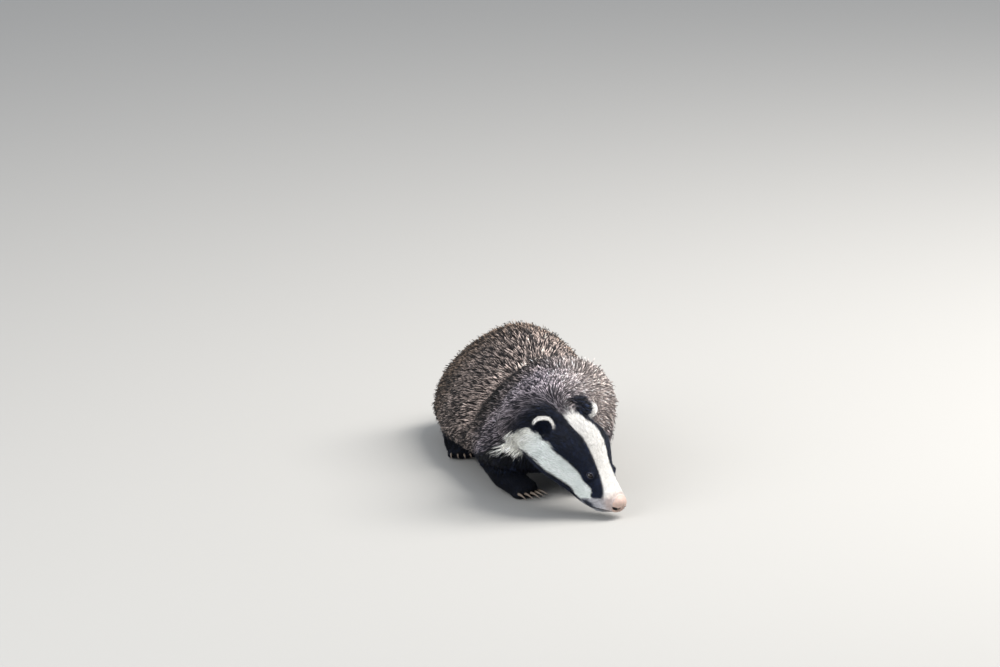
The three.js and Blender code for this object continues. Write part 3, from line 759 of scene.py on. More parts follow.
def nostril_bases(side):
    """The frames of a nostril's round opening at the front and of the slit that curls back from it."""
    return [
        basis_at(on_head([forward, side * left, up]), along_head([ahead, side * aside, down]), CROWN)
        for (forward, left, up), (ahead, aside, down) in (NOSTRIL, NOSTRIL_SLIT)
    ]


def shape_muzzle(points, normals):
    """Muzzle: a slim lower jaw tucked in behind the groove between the lips, a pad that stands proud
    ahead of a fine crease, a groove down its middle, and nostrils with a low rim and a slit to the side."""
    forward, left, up = head_places(points)
    level = mouth_level(forward, up)
    jaw = blend(84, 104, forward) * (np.abs(left) < 40) * (level < 0)
    points = points - CROWN * (0.42 * level * jaw)[:, None]
    points = points - HEAD_BASIS[1][0] * (0.14 * left * jaw * blend(0, -4, level))[:, None]
    on_mouth = blend(85, 91, forward) * (np.abs(left) < 40)
    groove = 1.6 * bell(level, 0.9) + 0.9 * blend(-7, -1, level) * (level < 0)
    lip = 0.6 * bell(level - 2, 1.3)
    pad = nose_pad(forward, left, up)
    ahead = forward > 105
    proud = 0.6 * blend(0, 1.4, pad) - 0.35 * bell(pad, 0.6)
    middle = 0.9 * bell(left, 0.9) * (1 - blend(-1, 5, up)) * blend(118, 124, forward)
    flat = 2.2 * blend(124, 137, forward) * blend(9, 2, np.abs(up + 2)) * blend(12, 4, np.abs(left))
    out = (lip - groove) * on_mouth + ahead * (proud - middle - flat)
    points = points + normals * out[:, None]
    for side in SIDES.values():
        opening, slit = nostril_bases(side)
        for basis, width, height, depth in (
            (opening, 5.4, 5, -0.9), (slit, 6, 3.4, -0.6), (opening, 3, 3.1, 5), (slit, 5.2, 1.5, 3),
        ):
            points = press(points, basis, width, height, depth)
    return points


def body_fold(points):
    """1 in the fold that runs down both flanks behind the shoulders, where the body bends."""
    return bell(-points[:, 1] - FOLD_AT, FOLD_WIDTH) * blend(30, 75, points[:, 2])


def shape_skin(piece):
    """Adds the fold of the flanks, the lids, ears and muzzle to the skin and stands it on the floor."""
    mesh = piece.data
    points = points_of(mesh)
    points = shape_lids(points - normals_of(mesh) * (FOLD_DEPTH * body_fold(points))[:, None])
    points = shape_ears(points)
    set_points(mesh, points)
    points = shape_muzzle(points, normals_of(mesh))
    points[:, 2] = np.maximum(points[:, 2], 0)
    set_points(mesh, points)
    shade_smooth(mesh)


# Hair: length and height of the coat's tips over the skin on the head, from the nape to the nose
HEAD_HAIR = np.array([
    [-46, 27, 8.5], [-20, 19, 7], [0, 13, 5], [20, 10, 3.8], [40, 8, 3], [60, 6, 2.3], [80, 4.6, 1.6],
    [100, 3.4, 1.1], [130, 2, 0.5],
])
TRUNK_HAIR, NECK_HAIR, TAIL_HAIR, EAR_HAIR = 34, 30, 44, 6
# Length and height of the hair from the elbow or knee to the paw
LEG_HAIR, LEG_LIFT = (16, 5), (6, 1.2)
EAR_LIFT = 1.8
# The legs' hair starts below this height, and a gap as large as FAR leaves a part no say at a vertex
LEG_TOP, FAR = 84, 60.0
DOWN = np.array([0, 0, -1.0])
PARTS = ("trunk", "neck", "head", "tail", "ears", "legs")
# Tufts for each square millimetre of skin, by the length of the hair
HAIR_RATE = np.array([[2, 2.2], [4, 1.7], [8, 1.05], [15, 0.6], [25, 0.37], [42, 0.25]])


class Hide:
    """What the skin carries at each vertex: the part that it belongs to, the place on that part's own
    form, the way that the hair lies, its length and how high its tips stand."""

    def __init__(self, mesh):
        self.points, self.normals = points_of(mesh), normals_of(mesh)
        self.edges, self.triangles = edges_of(mesh), triangles_of(mesh)
        self.forward, self.left, self.up = head_places(self.points)
        rows = (len(self.points), len(PARTS))
        self.gaps, self.lengths, self.lifts = np.full(rows, FAR), np.ones(rows), np.ones(rows)
        self.ways, self.spots = np.zeros((*rows, 3)), np.zeros((*rows, 2))
        self.measure_body()
        self.measure_head()
        self.measure_ears()
        self.measure_legs()
        self.join_parts()
        self.bare = self.measure_bare()

    def note(self, part, rows, gap, way, spots, length, lift):
        """Keeps what a part's form says of some vertices: how far they lie from it, the lie of the hair,
        their place on the form, the hair's length and the height of its tips."""
        held = (self.gaps, self.ways, self.spots, self.lengths, self.lifts)
        for values, new in zip(held, (gap, way, spots, length, lift)):
            values[rows, PARTS.index(part)] = new

    def measure_body(self):
        """Trunk, neck and tail: the hair runs to the rear and falls, more on the nape, and its length and
        height go with the coat's depth. The tail keeps nearly all of both up to its end."""
        for part, form, sign, fall, hair in (
            ("trunk", TRUNK_FORM, -1, 0.45, TRUNK_HAIR), ("neck", NECK_FORM, -1, 0.45, NECK_HAIR),
            ("tail", TAIL_FORM, 1, 0, TAIL_HAIR),
        ):
            t, angle, level = form.find(self.points)
            depth = form.coat_at(t, angle) / 2
            nape = (part == "neck") * (0.65 * blend(50, 115, t) - 0.6 * blend(-0.6, -1, np.sin(angle)))
            way = sign * form.frame(t)[0] + (fall + nape)[:, None] * DOWN
            shortest, lowest = (0.9, 0.8) if part == "tail" else (0.5, 0)
            length = hair * mix(shortest, 1, depth / depth.max())
            lift = 0.85 * np.maximum(depth, lowest * depth.max()) + 0.8
            spots = np.stack([t / form.length, angle], -1)
            self.note(part, slice(None), np.abs(level + depth), way, spots, length, lift)

    def measure_head(self):
        """Head: the hair runs back from the nose and outward, falls more towards the nape, and is longer
        on the cheeks' lower edge."""
        t, angle, level = HEAD_FORM.find(self.points)
        outward = along_head([0, 1, 0]) * np.sign(self.left)[:, None]
        fall = mix(0.2, 1.1, blend(34, -6, self.forward))[:, None]
        way = along_head([-1, 0, 0]) + 0.3 * outward + fall * DOWN
        ruff = blend(60, 20, self.forward) * blend(0, -20, self.up)
        length = held(HEAD_HAIR[:, [0, 1]], self.forward) * (1 + 0.2 * ruff)
        lift = held(HEAD_HAIR[:, [0, 2]], self.forward)
        gap = np.abs(level + held(HEAD_FUR_DEPTH, self.forward))
        self.note("head", slice(None), gap, way, np.stack([t / HEAD_FORM.length, angle], -1), length, lift)

    def measure_ears(self):
        """Ears: the hair runs up to the tip and a little outward. The gap is the distance from the ear's
        middle, less the share of it that lies inside the ellipsoid."""
        self.note("ears", slice(None), FAR, 0, 0, EAR_HAIR, EAR_LIFT)
        for side in SIDES.values():
            basis = ear_basis(side)
            local = into(basis, self.points)
            size = np.linalg.norm(local / EAR_RADII, axis=1)
            gap = np.linalg.norm(local, axis=1) * np.abs(1 - 1 / np.maximum(size, 0.05))
            gap = np.where(size < 1.05, 0, gap)
            mine = gap < self.gaps[:, PARTS.index("ears")]
            local = local[mine]
            way = basis[1][1] + 0.15 * basis[1][0] * np.sign(local[:, :1])
            turn = np.arctan2(local[:, 2], local[:, 0])
            spots = np.stack([0.5 + side * (0.25 + local[:, 1] / 90), turn], -1)
            self.note("ears", mine, gap[mine], way, spots, EAR_HAIR, EAR_LIFT)

    def measure_legs(self):
        """Legs: the hair runs down each length of the nearest leg, shorter and flatter towards the paw."""
        low = np.nonzero(self.points[:, 2] < LEG_TOP)[0]
        for order, forms in enumerate(LIMBS.values()):
            for i, form in enumerate(forms):
                t, angle, level = form.find(self.points[low])
                sink = mix(LIMB_FUR_DEPTH[i], LIMB_FUR_DEPTH[i + 1], t / form.length)
                gap = np.abs(level + sink) + 3 * (i == 0)
                mine = gap < self.gaps[low, PARTS.index("legs")]
                down = (i + t[mine] / form.length) / len(forms)
                spots = np.stack([(order + down) / len(LIMBS), angle[mine]], -1)
                way = form.frame(t[mine])[0] + 0.3 * DOWN
                length, lift = mix(*LEG_HAIR, down), mix(*LEG_LIFT, down)
                self.note("legs", low[mine], gap[mine], way, spots, length, lift)

    def join_parts(self):
        """Each part's say at a vertex falls with its gap as a bell curve, and is evened out over the
        neighbours. Hair is shorter and lower round the ears, and higher on the crest before the fold."""
        weights = bell(self.gaps, 5) + 1e-6 / (1 + self.gaps)
        weights = neighbour_mean(weights, self.edges, 6)
        weights /= weights.sum(1, keepdims=True)
        self.weights, self.part = weights, weights.argmax(1)
        way = (unit(self.ways) * weights[..., None]).sum(1)
        way = neighbour_mean(unit(square_to(way, self.normals)), self.edges, 12)
        self.way = unit(square_to(way, self.normals))
        clear = blend(0, 20, self.gaps[:, PARTS.index("ears")])[:, None]
        self.lengths[:, :3] *= mix(0.45, 1, clear)
        self.lifts[:, :3] *= mix(0.6, 1, clear)
        crest = bell(-self.points[:, 1] - FOLD_AT - FOLD_WIDTH, FOLD_WIDTH)
        self.lifts[:, 0] *= 1 + 0.35 * crest * blend(60, 110, self.points[:, 2])
        self.length, self.lift = (
            neighbour_mean((values * weights).sum(1), self.edges, 4)[:, 0]
            for values in (self.lengths, self.lifts)
        )
        self.smooth_normals = unit(neighbour_mean(self.normals, self.edges, 4))
        self.rate = np.interp(self.length, *HAIR_RATE.T)

    def measure_bare(self):
        """1 where no hair grows: the nose pad, the edges of the lips, the eyes' openings and the soles."""
        bare = blend(0, 0.6, nose_pad(self.forward, self.left, self.up))
        level = mouth_level(self.forward, self.up)
        lips = (np.abs(level) < 1.1) & (self.forward > 88) & (self.weights[:, PARTS.index("head")] > 0.5)
        bare = np.maximum(bare * (self.forward > 105), lips)
        for side in SIDES.values():
            x, y, z = into(eye_basis(side), self.points).T
            bare = np.maximum(bare, (eye_opening(x, y) > -0.9) & (np.abs(z) < 9))
        return np.maximum(bare, self.points[:, 2] < 0.3)


class SkinField:
    """The nearest skin vertex of each point of a grid, handed on from neighbour to neighbour. Reading it
    gives the height over the skin, the way out and the lie of the hair, from the eight grid points
    round a place, weighted by how near they are."""

    def __init__(self, hide, low, high, spacing, rounds):
        self.low, self.spacing = np.asarray(low, float), spacing
        self.count = np.ceil((np.asarray(high) - self.low) / spacing).astype(int) + 1
        grid = np.stack(np.meshgrid(*map(np.arange, self.count), indexing="ij"), -1) * spacing + self.low
        cell = np.rint((hide.points - self.low) / spacing).astype(int)
        held = np.nonzero(((cell >= 0) & (cell < self.count)).all(1))[0]
        nearest = np.full(self.count, -1)
        nearest[tuple(cell[held].T)] = held
        gap = np.where(nearest < 0, np.inf, ((grid - hide.points[nearest]) ** 2).sum(-1))
        for _ in range(rounds):
            for axis in range(3):
                for way in (1, -1):
                    moved = np.roll(nearest, way, axis)
                    where = np.nonzero((moved >= 0) & (moved != nearest))
                    new = ((grid[where] - hide.points[moved[where]]) ** 2).sum(-1)
                    better = new < gap[where]
                    where = tuple(index[better] for index in where)
                    nearest[where], gap[where] = moved[where], new[better]
        normal = hide.smooth_normals[nearest]
        height = dot(grid - hide.points[nearest], normal)
        values = np.concatenate([height[..., None], normal, hide.way[nearest]], -1)
        self.values = values.reshape(-1, 7).astype(np.float32)

    def read(self, points):
        """The height over the skin, the way out and the lie of the hair at each point."""
        at = np.clip((points - self.low) / self.spacing, 0, self.count - 1.001)
        cell = at.astype(int)
        part = at - cell
        total = np.zeros((len(points), 7))
        for corner in np.ndindex(2, 2, 2):
            share = np.prod(np.where(corner, part, 1 - part), axis=1)
            index = np.ravel_multi_index((cell + corner).T, self.count)
            total += share[:, None] * self.values[index]
        return total[:, 0], unit(total[:, 1:4]), total[:, 4:7]


def grain(points, size, seed):
    """Smooth noise of about a size, between -1 and 1: four waves that run in ways of their own, whose
    phases bend each other."""
    random = np.random.default_rng(seed)
    total = np.zeros(len(points))
    for _ in range(4):
        way = unit(random.normal(size=3))
        phase = points @ way * (2 * np.pi / size) * random.uniform(0.7, 1.5)
        total = np.sin(phase + random.uniform(0, 6.3) + 1.7 * total)
    return total


def linear(code):
    """A colour written as sRGB hex, as linear red, green and blue."""
    values = np.array([int(code[i:i + 2], 16) for i in (1, 3, 5)]) / 255
    return np.where(values <= 0.04045, values / 12.92, ((values + 0.055) / 1.055) ** 2.4)


# Half width of the white stripe down the middle of the face
MIDDLE_STRIPE = np.array([
    [-30, 3], [-12, 5], [-3, 12], [10, 18], [24, 21], [38, 19.5], [50, 18], [62, 16], [75, 14],
    [85, 14.5], [95, 16], [103, 17.3], [112, 19], [130, 24],
])
# Height of the upper and lower edges of the white stripe on the cheek
CHEEK_TOP = np.array([
    [-19, -18], [-10, -2], [0, 2], [8, 2], [22, 7], [36, 6], [47, 6.7], [58, 5.3], [69, 3], [79, -2],
    [87, -3], [93, -5.6], [97, -13],
])
CHEEK_LOW = np.array([
    [-30, -60], [18, -23], [29, -22], [41, -22], [54, -20], [66, -19], [74, -20], [81, -25], [90, -25],
])
# The cheek stripe goes on over the side of the neck: its upper and lower edges, as millimetres along the
# neck and degrees above the level of its axis, and its edge behind the ear, as forward and up of the head
NECK_TOP = np.array([[70, -39], [95, -37], [114, -30], [130, -9]])
NECK_LOW = np.array([[70, -39], [84, -42], [91, -50], [95, -62], [100, -70], [124, -80]])
NECK_BEHIND_EAR = np.array([[-48, -76], [-32, -45], [-19, -23], [-6, -8]])


def markings(points):
    """Shares of the markings at points: the white stripe down the face, the cheek stripe that goes on over
    the neck, the snout, the chin, the ears' rims, the blush behind the nose and the grizzled crown. Their
    edges are blends some millimetres wide, which noise makes ragged."""
    forward, left, up = head_places(points)
    side = np.abs(left)
    ragged = grain(points, 7, 5) * blend(70, 10, forward)
    middle = blend(-1.2, 1.2, held(MIDDLE_STRIPE, forward) - side + ragged)
    middle = middle * blend(-7, 1, forward + 3 * ragged) * blend(-6, 0, up)
    top, low = held(CHEEK_TOP, forward), held(CHEEK_LOW, forward)
    cheek = blend(-1.4, 1.4, top - up + ragged) * blend(-2.5, 2.5, up - low + 2 * ragged)
    cheek = cheek * blend(-22, -12, forward) * blend(72, 60, side) * (side > 5)
    snout = blend(111, 113.5, forward - up) * blend(86, 92, forward)
    chin = blend(82, 92, forward) * blend(2, -2, up - np.maximum(low, -25)) * (side < 36)
    t, angle, _ = NECK_FORM.find(points)
    height = np.degrees(np.arctan2(np.sin(angle), np.abs(np.cos(angle))))
    along = t + 2 * grain(points, 16, 8)
    upper, lower = held(NECK_TOP, along), held(NECK_LOW, along)
    loose = 4 * grain(points, 12, 9)
    neck = blend(-4, 4, upper - height + loose) * blend(-4, 4, height - lower + loose)
    neck = neck * blend(70, 84, along) * blend(-6, -20, forward)
    neck = neck * blend(-3, 3, np.interp(forward, *NECK_BEHIND_EAR.T) - up + 1.5 * ragged)
    rim = 0
    for ear in SIDES.values():
        x, y, z = into(ear_basis(ear), points).T
        size = np.hypot(x / EAR_RADII[0], y / EAR_RADII[1])
        near = (np.abs(z) < 14) & (size < 1.6)
        rim = np.maximum(rim, near * blend(0.77, 0.86, size) * blend(0, 6, y) * blend(-8, -5, z))
    blush = blend(105, 117, forward) * blend(-12, -2, up) + 0.5 * blend(112, 122, forward)
    crown = blend(22, 12, side) * blend(1, -8, forward)
    return {"middle": middle, "cheek": np.maximum(cheek, neck), "snout": snout, "chin": chin, "rim": rim,
            "blush": np.clip(blush, 0, 1), "crown": crown}


# Shares of a tuft's length where its rings stand
LONG_RINGS = (0, 0.56, 0.8)
SHORT_RINGS = (0, 0.5)

# Height that the black hair of belly, chest and throat reaches, from the rump to the throat
DARK_UNDER = np.array([[-330, 24], [-60, 26], [-20, 34], [14, 46], [50, 60], [90, 66], [140, 74]])
# Shares of red, green and blue that the cheek stripe loses on the face: painted bluish shade of the sky
CHEEK_SKY_SHADE = np.array([0.06, 0.0, -0.05])
# The dark crest, painted shade in the crease before the fold, and the paler hair behind it: how far forward
# each lies, and half its width
CREST_AT, CREST_WIDTH, BEHIND_AT, BEHIND_WIDTH = -34, 15, -74, 17


def coat_colours(points, weights, colours):
    """The colours of the hair at its root, middle and tip. The body goes from back to rump and shoulders,
    and its hair is painted lighter towards the top and the left side, where the light falls, darker on a
    crest before the fold, painted shade in its crease, and paler behind it, with painted sunlight on the
    tips of the left shoulder. The markings of the head lie over that, with painted bluish shade on the
    front of the cheek stripe and painted shade on the chin, under the snout and in the corners of the
    mouth, and black hair over belly, throat and legs, which painted shade darkens below the body."""
    marks = markings(points)
    forward, left, up = head_places(points)
    side = np.abs(left)
    head, tail, ears, legs = weights[:, 2:].T
    body_left, body_forward, body_up = points[:, 0], -points[:, 1], points[:, 2]
    loose = grain(points, 30, 3)
    rear = blend(-140, -230, body_forward + 8 * loose)
    front = blend(-40, 30, body_forward + 8 * loose)
    on_back = blend(40, 100, body_up)
    # crest: painted shade of the crease in front of the fold; behind: the paler hair behind it
    crest = on_back * bell(body_forward - CREST_AT + 3 * loose, CREST_WIDTH)
    behind = on_back * bell(body_forward - BEHIND_AT + 3 * loose, BEHIND_WIDTH)
    # Painted light: the hair is lighter towards the top and the left side, where the light falls from above
    # and from the left, and darker on the right flank
    ridge = mix(0.7, 1.25, blend(-60, 25, body_left) * blend(40, 120, body_up))
    ridge = (ridge + 0.45 * behind - 0.85 * crest)[:, None]
    # Painted sunlight: the tips of the hair on the top of the left shoulder are paler, where the light falls
    frost = blend(-20, 60, body_left + 8 * loose) * blend(-60, 0, body_forward) * blend(60, 90, body_up)
    beside = blend(-24, -14, forward) * blend(13, 20, side) * blend(56, 44, side) * blend(-10, 0, up)
    black = np.maximum(head * blend(-44, -20, forward), beside) * (1 - marks["crown"])
    under = blend(7, -7, body_up + 4 * loose - np.interp(body_forward, *DARK_UNDER.T)) * (1 - tail)
    # Painted shade: the black hair of legs, belly and throat is darker than the head's, as the shade under
    # the body
    dim = 1 - 0.6 * np.clip(legs + under, 0, 1) * (1 - head)
    black = np.clip(black + ears + legs + under, 0, 1)
    # Painted bluish shade of the sky on the front of the cheek stripe
    painted_sky_shade = 1 - (marks["cheek"] * blend(-20, 20, forward))[:, None] * CHEEK_SKY_SHADE
    pale = np.maximum(marks["middle"], marks["rim"] * blend(0.3, 0.6, ears))
    mottle = 1.12 - 0.3 * blend(-0.3, 0.8, grain(points, 4, 12))
    # Painted shade: the lower edge of the snout takes the chin's colour
    painted_shade_under_snout = 0.6 * marks["snout"] * blend(-14, -21, up)
    # Dark hair around the corners of the mouth: the dark edge of the lips, and painted shade in the corners
    corner = blend(6.5, 3.5, np.hypot((forward - 98) / 1.5, mouth_level(forward, up) - 1.5)) * head
    shades = []
    for level in range(3):
        shade = mix_rows(colours["back"][level], colours["rump"][level], rear)
        shade = mix_rows(shade, colours["shoulders"][level], front)
        shade = mix_rows(shade, colours["tail"][level], tail) * ridge
        shade = mix_rows(shade, colours["frost"], (0, 0.2, 1)[level] * frost)
        shade = mix_rows(shade, colours["dark"][level] * dim[:, None], black)
        shade = mix_rows(shade, colours["cheek"][level], marks["cheek"]) * painted_sky_shade
        shade = mix_rows(shade, colours["white"][level], pale)
        # The chin's bluish grey is painted shade under the head
        shade = mix_rows(shade, colours["chin"][level], marks["chin"])
        shade = mix_rows(shade, colours["snout"][level] * mottle[:, None], marks["snout"])
        shade = mix_rows(shade, colours["chin"][level], painted_shade_under_snout)
        shade = mix_rows(shade, colours["nose"], 0.55 * marks["blush"])
        shades.append(mix_rows(shade, colours["dark"][level], 0.9 * corner))
    return shades


def sample_roots(hide, chosen, rate, random):
    """Roots spread by chance over the chosen triangles, so many for each square millimetre: the triangle
    and the shares of its corners."""
    corners = hide.triangles[chosen]
    a, b, c = (hide.points[corners[:, i]] for i in range(3))
    area = np.linalg.norm(np.cross(b - a, c - a), axis=1) / 2
    wanted = area * rate[corners].mean(1)
    total = int(wanted.sum())
    steps = (np.arange(total) + random.random(total)) / total
    pick = np.minimum(np.searchsorted(np.cumsum(wanted) / wanted.sum(), steps), len(corners) - 1)
    first, second = random.random(total), random.random(total)
    flip = first + second > 1
    first, second = np.where(flip, 1 - first, first), np.where(flip, 1 - second, second)
    return corners[pick], np.stack([1 - first - second, first, second], -1)


def read_at(values, corners, shares):
    """Values of vertices at places inside triangles: the sum of the corners' values times their shares."""
    near = values[corners]
    return (near * shares.reshape(shares.shape + (1,) * (near.ndim - 2))).sum(1)


def clump_ids(roots, size, seed):
    """A number for the clump of each root: the cell of a grid whose lines are bent by noise."""
    bent = np.stack([roots[:, i] + 0.45 * size * grain(roots, 2.6 * size, seed + i) for i in range(3)], -1)
    cells = np.floor(bent / size).astype(int)
    return np.unique(cells, axis=0, return_inverse=True)[1].ravel()


def gather(spots, ids, pull):
    """Rings drawn towards the mean of their clump, more and more towards the tips."""
    count = np.bincount(ids)
    for ring in range(1, spots.shape[1]):
        mean = np.stack([np.bincount(ids, spots[:, ring, i]) / count for i in range(3)], -1)
        share = pull * (ring / (spots.shape[1] - 1)) ** 1.5
        spots[:, ring] = mix(spots[:, ring], mean[ids], share)
    return spots


# How far in a tuft is rooted, and how much of its last stretch is set straight ahead
ROOT_DEPTH, STRAIGHT_TIP = 0.8, 0.7


def grow_tufts(field, roots, normals, length, lift, rings, random, spread, follow):
    """The middle line of each tuft. From ring to ring it goes on along the lie of the hair, turned a
    little by chance, and towards the height lift * (1 - (1 - s) ** 1.8) over the skin, where s is the
    share of its length. follow is the share of that way that it goes after its first ring; the less, the
    straighter it runs. Where it is less than one, the tip lies mostly straight ahead of the last rings."""
    levels = [*rings, 1]
    turn = random.normal(0, spread, len(roots))
    spots = [roots - ROOT_DEPTH * normals]
    spot, outs = roots, [normals]
    for before, level in zip(levels, levels[1:]):
        share = follow if before else 1
        height, out, way = field.read(spot)
        way = unit(square_to(way, out))
        way = unit(way + turn[:, None] * np.cross(out, way))
        spot = spot + way * (length * (level - before))[:, None]
        height, out, way = field.read(spot)
        spot = spot + out * (share * (lift * (1 - (1 - level) ** 1.8) - height))[:, None]
        spots.append(spot)
        outs.append(out)
    if follow < 1:
        ahead = (spots[-2] - spots[-3]) * (levels[-1] - levels[-2]) / (levels[-2] - levels[-3])
        spots[-1] = mix(spots[-1], spots[-2] + ahead, STRAIGHT_TIP)
    return np.stack(spots, 1), np.stack(outs, 1)


def blades(spots, outs, width, rings):
    """Blades round middle lines. Each ring is a low triangle, square to the line and narrower towards the
    tip, and the last point closes the blade."""
    ahead = unit(spots[:, 1:] - spots[:, :-1])
    across = unit(np.cross(outs[:, :-1], ahead))
    level = np.array(rings)
    half = (width[:, None] * (0.6 + 0.5 * level) * (1 - level**3.2))[..., None]
    left, right = spots[:, :-1] - across * half, spots[:, :-1] + across * half
    ridge = spots[:, :-1] + outs[:, :-1] * half * 0.7
    points = np.stack([left, right, ridge], 2).reshape(len(spots), -1, 3)
    points = np.concatenate([points, spots[:, -1:]], 1)
    triangles = [[0, 1, 2]]
    for ring in range(len(rings) - 1):
        for side in range(3):
            a, b = 3 * ring + side, 3 * ring + (side + 1) % 3
            triangles += [[a, a + 3, b + 3], [a, b + 3, b]]
    last = 3 * (len(rings) - 1)
    triangles += [[last + side, 3 * len(rings), last + (side + 1) % 3] for side in range(3)]
    return points, np.array(triangles)


def tuft_mesh(name, points, triangles, shades, places):
    """One mesh of many tufts, with their colours and a small patch of the OFBake map for each."""
    count, size = points.shape[:2]
    corners = (triangles[None] + size * np.arange(count)[:, None, None]).reshape(-1)
    mesh = bpy.data.meshes.new(name)
    mesh.vertices.add(count * size)
    mesh.loops.add(len(corners))
    mesh.polygons.add(len(corners) // 3)
    mesh.loops.foreach_set("vertex_index", corners)
    mesh.polygons.foreach_set("loop_start", np.arange(0, len(corners), 3))
    shade_smooth(mesh)
    set_points(mesh, points.reshape(-1, 3))
    set_hair_colours(mesh, shades.reshape(-1, 3))
    layer = mesh.uv_layers.new(name="OFBake")
    layer.uv.foreach_set("vector", places.reshape(-1, 2)[corners].ravel().astype(np.float32))
    mesh.validate()
    return put_in_scene(name, mesh)


# The width of a tuft's patch on the bake map, and the most triangles in a piece of the coat
PATCH = 0.003
MOST_TRIANGLES = 190000
# How the tufts of a part differ, as shares of their length, lift and width
LENGTH_RANGE, LIFT_RANGE, WIDTH_RANGE = (0.65, 1.15), (0.45, 1.1), (0.7, 1.3)
PROUD_TUFTS = 0.1
LOWEST_TIP = 0.4
CLUMP_SEED = 40
# How much the shade changes from clump to clump and from tuft to tuft
CLUMP_SHADE, TUFT_SHADE = 0.15, 0.2


def bake_places(roots, size):
    """The bake map's places: each tuft's root on the unwrap of the skin, scaled to fill the map, with its
    rings and sides spread over a small patch."""
    low, high = roots.min(0), roots.max(0)
    middle = 0.01 + 0.98 * (roots - low) / np.maximum(high - low, 1e-6)
    ring, side = np.divmod(np.arange(size), 3)
    spread = np.stack([ring / max(ring.max(), 1) - 0.5, (side - 1) / 2], -1) * PATCH
    spread[-1] = [PATCH / 2, 0]
    return np.clip(middle[:, None] + spread[None], 0.001, 0.999)


def grow_coat(hide, field, part, sizes, colours, random):
    """The tufts of one part of the body, in pieces that stay small enough to export. Longer tufts are
    wider, and one in ten is slimmer and stands proud of the rest."""
    index = PARTS.index(part)
    chosen = (hide.part[hide.triangles[:, 0]] == index) & (hide.bare[hide.triangles].max(1) < 0.5)
    corners, shares = sample_roots(hide, chosen, sizes["rate"] * hide.rate, random)
    count = len(corners)
    roots, normals, length, lift, weights = (
        read_at(values, corners, shares)
        for values in (hide.points, hide.normals, hide.length, hide.lift, hide.weights)
    )
    length = length * random.uniform(*LENGTH_RANGE, count)
    lift = lift * random.uniform(*LIFT_RANGE, count)
    proud = random.random(count) < PROUD_TUFTS
    lift = lift * (1 + 0.5 * proud)
    rings = sizes["rings"]
    spots, outs = grow_tufts(
        field, roots, unit(normals), length, lift, rings, random, sizes["spread"], sizes["follow"]
    )
    ids = clump_ids(roots, sizes["clump"], CLUMP_SEED)
    spots = gather(spots, ids, sizes["pull"])
    spots[:, 1:, 2] = np.maximum(spots[:, 1:, 2], LOWEST_TIP)
    width = (0.15 + 0.024 * length) * sizes["width"] * random.uniform(*WIDTH_RANGE, count)
    points, triangles = blades(spots, outs, width * (1 - 0.3 * proud), rings)
    seen = mix_rows(spots[:, 0], spots[:, -1], random.uniform(0.6, 0.95, count))
    shades = tuft_colours(seen, weights, ids, colours, rings, random)
    on_form = hide.spots[corners[:, 0], index]
    places = bake_places(on_form, points.shape[1])
    order = np.argsort(on_form[:, 0], kind="stable")
    pieces = []
    parts = int(np.ceil(count * len(triangles) / MOST_TRIANGLES))
    for i, share in enumerate(np.array_split(order, parts)):
        name = f"coat_{part}" if parts == 1 else f"coat_{part}_{i + 1}"
        pieces.append(tuft_mesh(name, points[share], triangles, shades[share], places[share]))
    return pieces


def tuft_colours(seen, weights, ids, colours, rings, random):
    """A colour for each vertex of each tuft: root, middle and tip along its length, each tuft and each
    clump a little lighter or darker, more so in dark hair than in pale, and some without the pale tip."""
    root, middle, tip = coat_colours(seen, weights, colours)
    clump = random.normal(0, CLUMP_SHADE, ids.max() + 1)[ids]
    pale = blend(0.25, 0.6, middle.mean(1))
    deep = blend(0.15, 0.07, tip.mean(1))
    own = np.exp((random.normal(0, TUFT_SHADE, len(seen)) + clump) * (1 - 0.5 * pale + deep))[:, None]
    kind = random.random(len(seen)) + clump
    tip = mix_rows(tip, middle, blend(0.55, 0.35, kind))
    shades = []
    for level in (*rings, 1):
        shade = mix(mix(root, middle, min(level / 0.3, 1)), tip, blend(0.5, 0.85, level))
        shades += [shade * own] * (3 if level < 1 else 1)
    return np.stack(shades, 1)


def eye_profile():
    """The eye's outline from its front to its back: a ball whose front bulges by the height of a cornea,
    as distances from its axis and along it."""
    turn = np.linspace(0, np.pi, 28)
    radius = EYE_RADIUS + 0.35 * bell(turn, 0.55)
    return radius * np.sin(turn), radius * np.cos(turn)


# The claws: how far from the toe's middle and over the floor they leave it, their half width, and their
# half height above and below the middle line
CLAW_AHEAD, CLAW_HEIGHT, CLAW_WIDE, CLAW_ABOVE, CLAW_BELOW = 5, 7, 1.6, 2.3, 1.7
CLAW_LENGTH = {"foreleg": 20, "hindleg": 11}


def face_outward(piece):
    """Turns the faces of a closed piece outward and shades it smoothly."""
    work = bmesh.new()
    work.from_mesh(piece.data)
    bmesh.ops.recalc_face_normals(work, faces=work.faces)
    work.to_mesh(piece.data)
    work.free()
    shade_smooth(piece.data)


